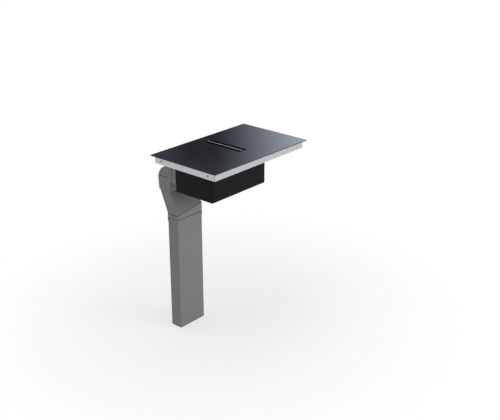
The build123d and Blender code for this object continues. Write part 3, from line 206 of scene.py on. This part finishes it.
# Two softboxes: one overhead, one low in front on the right, which lights the front faces
# more than the left ones. Polished surfaces mirror the walls and not the boxes.
overhead = {"spot": (-0.3, 0.4, 3.2), "turn": (0, 0, 0), "size": 2.6, "watts": 40}
front_right = {"spot": (1.3, -3.6, 0.9), "turn": (math.radians(78), 0, math.radians(20)),
               "size": 2.2, "watts": 78}
for name, softbox in (("overhead", overhead), ("front_right", front_right)):
    lamp = bpy.data.lights.new(name, "AREA")
    lamp.size = softbox["size"]
    lamp.energy = softbox["watts"]
    box = bpy.data.objects.new(name, lamp)
    box.location = softbox["spot"]
    box.rotation_euler = softbox["turn"]
    box.visible_glossy = False
    scene.collection.objects.link(box)

# The floor: a pale plaster disc at the foot of the duct. It keeps the shadow near the
# object and runs out into white further off.


def skin(name):
    """An empty material. What comes back is its place on the object, in metres."""
    made = bpy.data.materials.new(name)
    made.use_nodes = True
    made.node_tree.nodes.clear()
    return Wire(made.node_tree).node("ShaderNodeTexCoord", out="Object")


floor_reach = 14.0
floor_sides = 64
floor_gap = 0.0005
floor_clear = 0.9
floor_white = 2.1
white_share_near = 0.55
blotches = (7, 4)
plaster_tones = ((0.80, 0.80, 0.79), (0.84, 0.84, 0.83))
ring = np.linspace(0, 2 * np.pi, floor_sides, endpoint=False)
rim = np.stack([np.cos(ring), np.sin(ring), 0 * ring], 1) * floor_reach
rim[:, 2] = cad_box[0][2] - floor_gap
disc = bpy.data.meshes.new("floor")
disc.from_pydata(rim.tolist(), [], [list(range(len(ring)))])
floor = bpy.data.objects.new("floor", disc)
scene.collection.objects.link(floor)
place = skin("pale_floor")
far = place.node("ShaderNodeVectorMath", {0: place}, out="Value", operation="LENGTH")
plaster = place.noise(*blotches).tint(*plaster_tones)
matt = place.node("ShaderNodeBsdfDiffuse", {"Color": plaster})
seen = place.node("ShaderNodeLightPath", out="Is Camera Ray")
mirrored = place.node("ShaderNodeLightPath", out="Is Glossy Ray")
through = place.node("ShaderNodeLightPath", out="Is Transmission Ray")
looked_at = place.math("MAXIMUM", seen, place.math("MAXIMUM", mirrored, through))
share = far.ramp(floor_clear, floor_white, white_share_near, 1) * looked_at
white = place.node("ShaderNodeEmission", {"Color": (1, 1, 1, 1), "Strength": 1.0})
mixed = place.node("ShaderNodeMixShader", {0: share, 1: matt, 2: white})
beneath = place.node("ShaderNodeNewGeometry", out="Backfacing")
clear = place.node("ShaderNodeBsdfTransparent", {"Color": (1, 1, 1, 1)})
mixed = place.node("ShaderNodeMixShader", {0: beneath, 1: mixed, 2: clear})
place.node("ShaderNodeOutputMaterial", {"Surface": mixed})
disc.materials.append(bpy.data.materials["pale_floor"])

# The hob's top: one plate of black glass ceramic, polished above, with the faintest
# cloudiness from wiping. Its edge and underside are ground dull and painted darker as shade.


def close(place, colour, roughness, height=None, depth=0.0, fixed=(), over=None):
    """Ends a material: its colour, roughness, a relief of height times depth in metres, and
    numbers that are the same all over. Over is a factor and a second shader that shows where
    the factor is 1. Gives the material back."""
    sockets = {"Base Color": colour, "Roughness": roughness}
    if height:
        sockets["Normal"] = place.node("ShaderNodeBump", {"Height": height, "Distance": depth})
    sockets.update(fixed)
    body = place.node("ShaderNodeBsdfPrincipled", sockets)
    if over:
        body = place.node("ShaderNodeMixShader", {0: over[0], 1: body, 2: over[1]})
    place.node("ShaderNodeOutputMaterial", {"Surface": body})
    return next(m for m in bpy.data.materials if m.node_tree == place.tree)


polished_above = 0.0050
well_above = 1
deep_black = ((0.0055, 0.0065, 0.0095), (0.0095, 0.0105, 0.014))
polish = (0.035, 0.075)
speck_share, wipe_share = 0.6, 0.4
ground_shade, ground_dull = 0.5, 0.6
wipe_marks, specks, waves = (9, 5, (1, 2.5, 1)), (1400, 1), (60, 1)
wave_depth = 0.00001
place = skin("black_glass_ceramic")
wiped = place.noise(*wipe_marks)
colour = (place.noise(*specks) * speck_share + wiped * wipe_share).tint(*deep_black)
# The edge and underside take the glass's colour halved: painted shade.
ground = place.node("ShaderNodeBsdfPrincipled", {
    "Base Color": colour * ground_shade, "Roughness": ground_dull, "Specular IOR Level": 0.05})
rough = wiped.ramp(0.3, 0.8, *polish)
wavy = place.noise(*waves)
dull = 1 - place.part(2).band(polished_above, well_above)
glass_skin = close(place, colour, rough, wavy, wave_depth,
                   {"IOR": 1.5, "Specular IOR Level": 0.75}, (dull, ground))


def put(name, mesh, material, body, nodes=()):
    """Makes a mesh a piece of the object, which rides on the body and stands for the nodes."""
    mesh.materials.append(material)
    piece = bpy.data.objects.new(name, mesh)
    scene.collection.objects.link(piece)
    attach(piece, body)
    if nodes:
        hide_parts(*nodes)
    return piece


def points_of(mesh):
    """A mesh's points, each a row of x, y and z."""
    spots = np.empty(len(mesh.vertices) * 3)
    mesh.vertices.foreach_get("co", spots)
    return spots.reshape(-1, 3)


def rounded(material, width, *nodes, moved=None):
    """A copy of each node whose sharp edges have a round this wide, in metres. Corners of its
    triangles that share a place become one point, and triangles in one plane one face. Moved
    takes the points and gives their new places, and points that meet there become one."""
    same_plane = math.radians(0.5)
    sharp = math.radians(28)
    for name in nodes:
        node = frame["nodes"][name]
        corners = np.empty(len(node.data.loops), np.int32)
        node.data.loops.foreach_get("vertex_index", corners)
        to_micron = points_of(node.data).round(6)
        points, shared = np.unique(to_micron, axis=0, return_inverse=True)
        triangles = shared.ravel()[corners].reshape(-1, 3)
        mesh = bpy.data.meshes.new(name + "_edged")
        mesh.from_pydata(points.tolist(), [], triangles.tolist())
        work = bmesh.new()
        work.from_mesh(mesh)
        bmesh.ops.dissolve_limit(work, angle_limit=same_plane, verts=work.verts, edges=work.edges)
        work.to_mesh(mesh)
        if moved:
            mesh.vertices.foreach_set("co", moved(points_of(mesh)).ravel())
            work.clear()
            work.from_mesh(mesh)
            bmesh.ops.remove_doubles(work, verts=work.verts, dist=1e-5)
            work.to_mesh(mesh)
        work.free()
        mesh.shade_smooth()
        piece = put(name + "_edged", mesh, material, node["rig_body"], [name])
        edges = piece.modifiers.new("edges", "BEVEL")
        edges.width, edges.segments = width, 2
        edges.limit_method, edges.angle_limit = "ANGLE", sharp
        piece.modifiers.new("shade", "WEIGHTED_NORMAL")


rounded(glass_skin, 0.0006, "glass_top")

# Black silicone: the strip round the rim that the glass beds on, the bead that holds the
# tray to the glass, and the gasket round the air channel.


def speckled(name, cloud, tones, patch, dullness, grain, depth, fixed=()):
    """A plain material. Cloud, patch and grain are the lumps in a metre and the detail of the
    noises behind its colour, its roughness and its relief. Tones are the colour's two ends,
    dullness the roughness's, and depth is the relief's, in metres."""
    place = skin(name)
    colour = place.noise(*cloud).tint(*tones)
    rough = place.noise(*patch).spread(*dullness)
    return close(place, colour, rough, place.noise(*grain), depth, fixed)


def dress(material, *nodes):
    """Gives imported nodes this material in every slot."""
    for name in nodes:
        for slot in frame["nodes"][name].material_slots:
            slot.material = material


silicone_skin = speckled(
    "black_silicone", cloud=(300, 3), tones=((0.010, 0.010, 0.011), (0.022, 0.022, 0.024)),
    patch=(90, 2), dullness=(0.5, 0.72), grain=(700, 2), depth=0.00012)
dress(silicone_skin, "rim_seal", "glass_bond", "channel_gasket")

# The tray: zinc-coated sheet steel, 0.8 mm, pressed and folded, with a dark seam beside each
# corner. The coating shows its crystals as dull flakes a few millimetres wide.
flakes_per_m = 110
fine_flakes_per_m = flakes_per_m * 2.7
flake_shift = (0.31, 0.17, 0.23)
flake_depth = 0.00003
zinc_dullness = (0.34, 0.56)
roll_lines = (40, 3, (1, 1, 12))
zinc_tones = [(0.25, (0.46, 0.47, 0.48)), (0.5, (0.56, 0.565, 0.57)), (0.8, (0.66, 0.665, 0.67))]
seam_near, seam_far = 0.2368, 0.2384
seam_from, seam_to = 0.3935, 0.3945
seam_black = (0.03, 0.03, 0.03)
place = skin("zinc_coated_sheet")
shifted = place.node("ShaderNodeVectorMath", {0: place, 1: flake_shift}, operation="ADD")
flakes, fine = (
    place.node("ShaderNodeTexVoronoi", {"Vector": shifted, "Scale": scale}, out="Color")
    for scale in (flakes_per_m, fine_flakes_per_m))
flake = flakes * 0.65 + fine * 0.35
rolled = place.noise(*roll_lines)
zinc = place.node("ShaderNodeValToRGB", {"Fac": flake * 0.7 + rolled * 0.3}, stops=zinc_tones)
across = place.math("ABSOLUTE", place.part(0))
along = place.math("ABSOLUTE", place.part(1))
seam = along.band(seam_near, seam_far) * across.ramp(seam_from, seam_to)
colour = seam.tint(zinc, seam_black)
rough = flake.ramp(0.1, 0.9, *zinc_dullness)
relief = flake * 0.5 + rolled * 0.5
zinc_skin = close(place, colour, rough, relief, flake_depth, {"Metallic": 0.75})
rounded(zinc_skin, 0.0003, "hob_tray")

# The collars of the four bracket holes in the tray's ends: turned steel rings, phosphated
# black, pressed into the sheet from outside.


def turned(outline, centres, axis, sides=24, lobes=6):
    """Turned shapes, one round each centre. The outline is a run of (radius, height, wave). Each
    gives a ring of points at that height along the axis, at the radius times 1 + wave times the
    cosine of lobes times the turn. Rings in a row are joined by faces."""
    outline = np.array(outline, float)
    centres = np.array(centres, float).reshape(-1, 3)
    axis = np.array(axis, float)
    first = np.roll(np.abs(axis), 1)
    second = np.cross(axis, first)
    turn = np.linspace(0, 2 * np.pi, sides, endpoint=False)
    radius = outline[:, :1] * (1 + outline[:, 2:] * np.cos(lobes * turn))
    circle = np.cos(turn)[:, None] * first + np.sin(turn)[:, None] * second
    rings = radius[..., None] * circle + outline[:, 1, None, None] * axis
    points = (centres[:, None, None] + rings).reshape(-1, 3)
    index = np.arange(len(points)).reshape(len(centres), len(outline), sides)
    ahead = np.roll(index, -1, axis=2)
    quads = np.stack([index[:, :-1], ahead[:, :-1], ahead[:, 1:], index[:, 1:]], -1)
    mesh = bpy.data.meshes.new("turned")
    mesh.from_pydata(points.tolist(), [], quads.reshape(-1, 4).tolist())
    work = bmesh.new()
    work.from_mesh(mesh)
    bmesh.ops.remove_doubles(work, verts=work.verts, dist=1e-6)
    bmesh.ops.recalc_face_normals(work, faces=work.faces)
    work.to_mesh(mesh)
    work.free()
    mesh.shade_smooth()
    mesh.set_sharp_from_angle(angle=math.radians(40))
    return mesh


collar_r = 0.0055
hole_r = 0.003
collar_x, collar_y, collar_z = 0.395, 0.187, -0.024
lip = [(hole_r, 0.0001, 0), (hole_r, 0.0009, 0), (hole_r + 0.0004, 0.0012, 0),
       (collar_r - 0.0006, 0.0012, 0), (collar_r, 0.0006, 0), (collar_r, 0.0001, 0),
       (hole_r, 0.0001, 0)]
black_steel = speckled(
    "phosphated_steel", cloud=(900, 3), tones=((0.012, 0.012, 0.013), (0.030, 0.030, 0.031)),
    patch=(600, 2), dullness=(0.35, 0.5), grain=(1500, 2), depth=0.00003,
    fixed={"Metallic": 0.6})
for side, end in ((-1, "left"), (1, "right")):
    spots = [(side * collar_x, y, collar_z) for y in (-collar_y, collar_y)]
    collars = turned(lip, spots, (side, 0, 0))
    put("bracket_collars_" + end, collars, black_steel, "cooktop")

# The coils: litz wire wound flat on heat-proof plastic, over ferrite bars and a plate of
# rolled aluminium, like that of the boards' coolers.
plate_lines = (25, 4, (1, 14, 1))
plate_depth = 0.00004
plate_tones = ((0.58, 0.59, 0.60), (0.74, 0.74, 0.75))
plate_dullness = (0.28, 0.44)
place = skin("rolled_aluminium")
rolled = place.noise(*plate_lines)
colour = rolled.tint(*plate_tones)
rough = rolled.spread(*plate_dullness)
aluminium_skin = close(place, colour, rough, rolled, plate_depth, {"Metallic": 1.0})
dress(aluminium_skin, "coil_plate_left", "coil_plate_right", "heatsink_left", "heatsink_right")

carrier_skin = speckled(
    "heat_proof_plastic", cloud=(60, 3), tones=((0.30, 0.28, 0.24), (0.40, 0.37, 0.32)),
    patch=(30, 2), dullness=(0.45, 0.62), grain=(900, 2), depth=0.00008)
dress(carrier_skin, "coil_carriers", "terminal_block")

ferrite_skin = speckled(
    "ferrite", cloud=(500, 3), tones=((0.020, 0.021, 0.024), (0.045, 0.045, 0.05)),
    patch=(200, 2), dullness=(0.4, 0.6), grain=(800, 3), depth=0.0001)
dress(ferrite_skin, "ferrite_bars")

strand_pitch = 0.0028
strand_lay = 3000
strands_round = 160
strand_depth = 0.0009
strand_relief = 0.15
ridge_share, strand_share = 0.75, 0.25
copper_shaded_to_lit = ((0.16, 0.045, 0.02), (0.72, 0.34, 0.17))
copper_dullness = (0.28, 0.42)
for corner in ("front_left", "back_left", "front_right", "back_right"):
    low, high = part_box("coil_winding_" + corner)
    middle = tuple((low[i] + high[i]) / 2 for i in range(2)) + (0,)
    place = skin("litz_wire_" + corner)
    arm = place.node("ShaderNodeVectorMath", {0: place, 1: middle}, operation="SUBTRACT")
    flat = place.node("ShaderNodeVectorMath", {0: arm, 1: (1, 1, 0)}, operation="MULTIPLY")
    reach = place.node("ShaderNodeVectorMath", {0: flat}, out="Value", operation="LENGTH")
    turn = place.math("ARCTAN2", arm.part(1), arm.part(0))
    wound = reach * (2 * math.pi / strand_pitch) - turn
    ridge_and_shade = place.math("ABSOLUTE", place.math("SINE", wound * 0.5))
    strand = place.math("SINE", turn * strands_round + reach * strand_lay) * 0.5 + 0.5
    # Painted shade: the copper is darker in the valleys between the turns and the strands, lighter
    # on their tops.
    colour = (ridge_and_shade * ridge_share + strand * strand_share).tint(*copper_shaded_to_lit)
    rough = strand.ramp(0, 1, *copper_dullness)
    relief = ridge_and_shade + strand * strand_relief
    litz_skin = close(place, colour, rough, relief, strand_depth, {"Metallic": 0.85})
    dress(litz_skin, "coil_winding_" + corner)

# Soft black rubber: the caps of the coils' sensors, the pads under the glass for the touch
# controls, and the mounts of the extractor's box and of its motor.
rubber_skin = speckled(
    "soft_rubber", cloud=(150, 3), tones=((0.016, 0.016, 0.017), (0.034, 0.034, 0.035)),
    patch=(40, 3), dullness=(0.62, 0.8), grain=(600, 2), depth=0.00012)
dress(rubber_skin, "coil_sensors", "touch_pads", "mount_pads", "motor_bushes")

# The circuit boards under the coils and under the front edge: green lacquer over copper
# tracks that run square to one another.
tracks = {"Scale": 34.0, "Mortar Size": 0.012, "Mortar Smooth": 0.2}
track_depth = 0.0001
lacquer_tones = ((0.010, 0.075, 0.030), (0.03, 0.17, 0.075))
lacquer_patch, lacquer_dullness = (60, 2), (0.24, 0.38)
place = skin("lacquered_board")
cut = place.node("ShaderNodeTexBrick", {"Vector": place, **tracks}, out="Fac")
colour = cut.tint(*lacquer_tones)
rough = place.noise(*lacquer_patch).spread(*lacquer_dullness)
board_skin = close(place, colour, rough, cut, track_depth)
dress(board_skin, "power_board_left", "power_board_right", "touch_board")

# Moulded black plastic of the cooling fans, the terminal box and the blower's control box,
# with the fine spark texture of the mould.


def sparked(name, spark, cloud, tones, dullness, depth, sheen):
    """A moulded or painted black. Spark and cloud are the lumps in a metre and the detail of
    two noises: the first is its roughness and its relief, the second its colour. Tones and
    dullness are their ends, depth is the relief's, in metres, and sheen the specular level."""
    place = skin(name)
    grain = place.noise(*spark)
    colour = place.noise(*cloud).tint(*tones)
    rough = grain.ramp(0.25, 0.75, *dullness)
    return close(place, colour, rough, grain, depth, {"Specular IOR Level": sheen})


trim_skin = sparked(
    "black_moulding", spark=(1500, 2), cloud=(12, 3),
    tones=((0.0085, 0.0085, 0.009), (0.013, 0.013, 0.014)),
    dullness=(0.40, 0.56), depth=0.00008, sheen=0.32)
dress(trim_skin, "cooling_fan_frame_left", "cooling_fan_frame_right", "cooling_fan_rotor_left",
      "cooling_fan_rotor_right")
rounded(trim_skin, 0.0006, "terminal_box", "terminal_cover", "blower_control_box")

# The cord gland of the terminal box, moulded in black plastic: a hexagon body against the
# wall, a ribbed dome nut over it, and a rubber sleeve in its mouth. No cord is fitted.
gland_spot = (0.330, 0.174, -0.061)
outwards = (1, 0, 0)
bore_r, neck_r, flat_r, hexagon_r = 0.0065, 0.0089, 0.0112, 0.0120
nut_r, sleeve_r = 0.0080, 0.0079
neck_foot, hexagon_high, nut_foot, nut_head = -0.006, 0.009, 0.0095, 0.0218
gland_body = [(bore_r, neck_foot, 0), (bore_r, hexagon_high, 0), (flat_r, hexagon_high, 0),
              (hexagon_r, 0.0083, 0), (hexagon_r, 0.0007, 0), (flat_r, 0, 0), (neck_r, 0, 0),
              (neck_r, neck_foot, 0), (bore_r, neck_foot, 0)]
gland_nut = [(nut_r, nut_foot, 0), (0.0104, nut_foot, 0), (0.0107, 0.0105, 0.02),
             (0.0106, 0.0150, 0.03), (0.0101, 0.0185, 0.02), (0.0091, 0.0210, 0),
             (nut_r, nut_head, 0), (nut_r, nut_foot, 0)]
gland_seal = [(bore_r, 0.0100, 0), (bore_r, 0.0205, 0), (0.0071, 0.0214, 0),
              (sleeve_r, 0.0214, 0), (sleeve_r, 0.0100, 0), (bore_r, 0.0100, 0)]
for name, outline, sides, lobes, material, finish in (
    ("gland_body", gland_body, 6, 6, trim_skin, "black_trim"),
    ("gland_nut", gland_nut, 96, 24, trim_skin, "black_trim"),
    ("gland_seal", gland_seal, 32, 6, rubber_skin, "rubber"),
):
    shape = turned(outline, gland_spot, outwards, sides, lobes)
    put(name, shape, material, "cooktop", ["cable_gland"])

# The screws: pressed from steel wire, zinc plated, with a low round head and a six-lobed
# recess for the driver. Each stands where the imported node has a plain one.


def screws(material, name, axis, shank_r):
    """Pan-head screws for a node of plain ones, whose points come in blocks of equal length, one
    for each screw. The middle of a block gives the place and its length the screw's length."""
    points_each = 72
    head_share = 1.8
    axis = np.array(axis, float)
    blocks = points_of(frame["nodes"][name].data).reshape(-1, points_each, 3)
    along = np.ptp(blocks @ axis, axis=1)
    seats = (blocks.max(1) + blocks.min(1)) / 2 + (along / 2 - shank_r)[:, None] * axis
    long = float(along[0]) - shank_r
    head_r = shank_r * head_share
    outline = [(0, 0.35 * shank_r, 0), (0.40 * head_r, 0.35 * shank_r, 0.13),
               (0.42 * head_r, 0.97 * shank_r, 0.13), (0.50 * head_r, 0.99 * shank_r, 0),
               (0.78 * head_r, 0.88 * shank_r, 0), (0.95 * head_r, 0.60 * shank_r, 0),
               (head_r, 0.25 * shank_r, 0), (0.98 * head_r, 0.01 * shank_r, 0),
               (shank_r, 0.01 * shank_r, 0), (0.96 * shank_r, -0.9 * long, 0),
               (0.6 * shank_r, -0.99 * long, 0), (0, -0.99 * long, 0)]
    shape = turned(outline, seats, axis, sides=36)
    put(name + "_turned", shape, material, "cooktop", [name])


screw_skin = speckled(
    "plated_screw", cloud=(500, 3), tones=((0.20, 0.20, 0.21), (0.36, 0.36, 0.37)),
    patch=(700, 2), dullness=(0.26, 0.42), grain=(900, 1), depth=0.00005,
    fixed={"Metallic": 1.0})
down, backwards = (0, 0, -1), (0, 1, 0)
for name, axis, shank_r in (
    ("terminal_screws", down, 0.0015),
    ("mount_screws", down, 0.0020),
    ("base_cover_screws", down, 0.00175),
    ("scroll_screws", down, 0.00175),
    ("motor_screws", down, 0.0018),
    ("spigot_screws", backwards, 0.0015),
):
    screws(screw_skin, name, axis, shank_r)

# The grease filter: slats of stainless steel in a folded cassette, brushed along the hob's
# depth. The flap's pin is drawn from the same steel.
brush_lines = (900, 3, (1, 0.02, 1))
brush_depth = 0.00004
steel_tones = ((0.50, 0.50, 0.50), (0.78, 0.78, 0.77))
steel_dullness = (0.22, 0.4)
place = skin("brushed_steel")
brushed = place.noise(*brush_lines)
colour = brushed.tint(*steel_tones)
rough = brushed.spread(*steel_dullness)
steel_skin = close(place, colour, rough, brushed, brush_depth, {"Metallic": 1.0})
dress(steel_skin, "filter_slats", "flap_pin")
rounded(steel_skin, 0.0002, "filter_cassette")

# The grille's blade: a cap of stainless steel, brushed along its length and duller than
# the filter. Its flanks are painted near black as shade, so only its top shows bright in the vent.
blade_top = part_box("grille_blade")[1][2]
flank_below, top_above = 0.0006, 0.0003
flank_shade = (0.022, 0.021, 0.020)
blade_tones = ((0.40, 0.37, 0.335), (0.56, 0.52, 0.47))
blade_dullness = (0.3, 0.45)
place = skin("dull_brushed_steel")
brushed = place.noise(*brush_lines)
bright = brushed.tint(*blade_tones)
upper = place.part(2).ramp(blade_top - flank_below, blade_top - top_above)
# Painted shade: below its top the blade's flanks turn near black.
colour = upper.tint(flank_shade, bright)
rough = brushed.spread(*blade_dullness)
blade_skin = close(place, colour, rough, brushed, brush_depth, {"Metallic": 1.0})
dress(blade_skin, "grille_blade")

# The vent: a moulded frame in the glass's cut-out and the grille's own frame inside it,
# both dull black so that the slits beside the blade stay dark.
vent_skin = sparked(
    "vent_black", spark=(1500, 2), cloud=(12, 3),
    tones=((0.0035, 0.0035, 0.0038), (0.0055, 0.0055, 0.006)),
    dullness=(0.55, 0.70), depth=0.00006, sheen=0.1)
dress(vent_skin, "intake_channel")
rounded(vent_skin, 0.0003, "vent_frame", "grille_frame")

# The extractor's box, its base and the drip basin: matt black, with a fine grain. The
# volute inside it and the flat outlet on its back are moulded in the same black.
housing_skin = sparked(
    "matt_black_housing", spark=(1100, 3), cloud=(5, 3),
    tones=((0.0036, 0.0036, 0.0038), (0.0054, 0.0054, 0.0057)),
    dullness=(0.48, 0.64), depth=0.0001, sheen=0.1)
dress(housing_skin, "scroll_body", "scroll_inlet")
rounded(housing_skin, 0.0008, "extractor_housing", "base_cover", "overflow_basin")
rounded(housing_skin, 0.0004, "outlet_spigot")

# The blower: a wheel moulded in black plastic, pushed on a motor with a cast and painted
# case.
wheel_skin = speckled(
    "wheel_plastic", cloud=(80, 3), tones=((0.020, 0.021, 0.023), (0.032, 0.033, 0.036)),
    patch=(60, 2), dullness=(0.34, 0.48), grain=(900, 2), depth=0.00006)
dress(wheel_skin, "impeller")

motor_skin = speckled(
    "cast_motor_case", cloud=(220, 4), tones=((0.16, 0.165, 0.17), (0.26, 0.265, 0.27)),
    patch=(120, 3), dullness=(0.38, 0.56), grain=(700, 3), depth=0.00015,
    fixed={"Metallic": 0.6})
dress(motor_skin, "fan_motor", "motor_rotor")

# The ducting: mid-grey plastic, extruded or moulded, satin, with faint draw lines along
# its length. Its joints, the elbow's groove and the adapter's crease are painted dark as shade
# lines.
collar_foot, collar_head = -0.3742, -0.3728
crease_foot, crease_wide = -0.349, 0.0012
crease_slope = 36 / 205
duct_left = 0.382
groove_front, groove_back = 0.1125, 0.1168
groove_from, groove_to = -0.155, -0.154
joint_foot, joint_head = -0.1203, -0.1173
joint_lap = 0.0005
bend_from, bend_to = 0.150, 0.156
draw_lines, streaks, pores = (260, 2, (1, 1, 0.02)), (6, 4), (1200, 2)
joint_depth = 0.0005
grey_tones = ((0.165, 0.163, 0.166), (0.200, 0.198, 0.201))
grey_dullness = (0.42, 0.54)
painted_shade_black = (0.012, 0.012, 0.013)
place = skin("grey_duct_plastic")
drawn = place.noise(*draw_lines)
plain = (drawn * 0.3 + place.noise(*streaks) * 0.7).tint(*grey_tones)
over_crease = place.part(2) - (place.part(0) + duct_left) * crease_slope
shade_and_groove_lines = place.part(2).band(collar_foot, collar_head)
shade_and_groove_lines = shade_and_groove_lines + over_crease.band(crease_foot, crease_foot + crease_wide)
groove = place.part(1).band(groove_front, groove_back)
shade_and_groove_lines = shade_and_groove_lines + groove * place.part(2).ramp(groove_from, groove_to)
level_joint = place.part(2).band(joint_foot - joint_lap, joint_head + joint_lap)
shade_and_groove_lines = shade_and_groove_lines + level_joint * place.part(1).ramp(bend_from, bend_to)
shade_and_groove_lines = place.math("MINIMUM", shade_and_groove_lines, 1)
# Painted shade: the joint, groove and crease lines darken the grey to near black.
colour = (shade_and_groove_lines * 0.9).tint(plain, painted_shade_black)
relief = drawn * 0.08 + place.noise(*pores) * 0.05 - shade_and_groove_lines * 0.8
rough = drawn.spread(*grey_dullness)
duct_skin = close(place, colour, rough, relief, joint_depth, {"Specular IOR Level": 0.35})
dress(duct_skin, "return_flap")
rounded(duct_skin, 0.0006, "elbow_sleeve", "duct_adapter", "duct_collar", "flat_duct")

# The elbow: moulded in one, with a skin that stands proud round the bend and a socket below
# it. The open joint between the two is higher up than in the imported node.
elbow_low, elbow_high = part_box("duct_elbow")
skin_proud = 0.0016
bend_r = 0.090
packed_socket = -0.1415
on_skin = skin_proud + 0.0004
nearby = 0.001
behind_bend = 0.05


def joint_raised(points):
    """The elbow with the joint moved up. The bend's points below the joint go up to its head,
    and the socket's top to its foot, all on arcs round the bend's middle: y is the middle's y
    plus the root of the radius squared less the height over the middle squared."""
    x, y, z = points.T
    bend_y = elbow_high[1] - bend_r - skin_proud
    bend_z = elbow_high[2] - bend_r - skin_proud
    inset = np.minimum(x - elbow_low[0], elbow_high[0] - x)
    bend = (inset < on_skin) & (z > bend_z - nearby) & (z < joint_head)
    socket = (inset < on_skin) & (np.abs(z - packed_socket) < nearby)
    height = np.where(bend, joint_head, np.where(socket, joint_foot, z))
    rise = height - bend_z
    arc = bend_y + np.sqrt(np.maximum((bend_r + skin_proud - inset) ** 2 - rise ** 2, 0))
    moving = (y > bend_y + behind_bend) & (bend | socket & (inset > skin_proud / 2))
    return np.stack([x, np.where(moving, arc, y), height], 1)


rounded(duct_skin, 0.0006, "duct_elbow", moved=joint_raised)
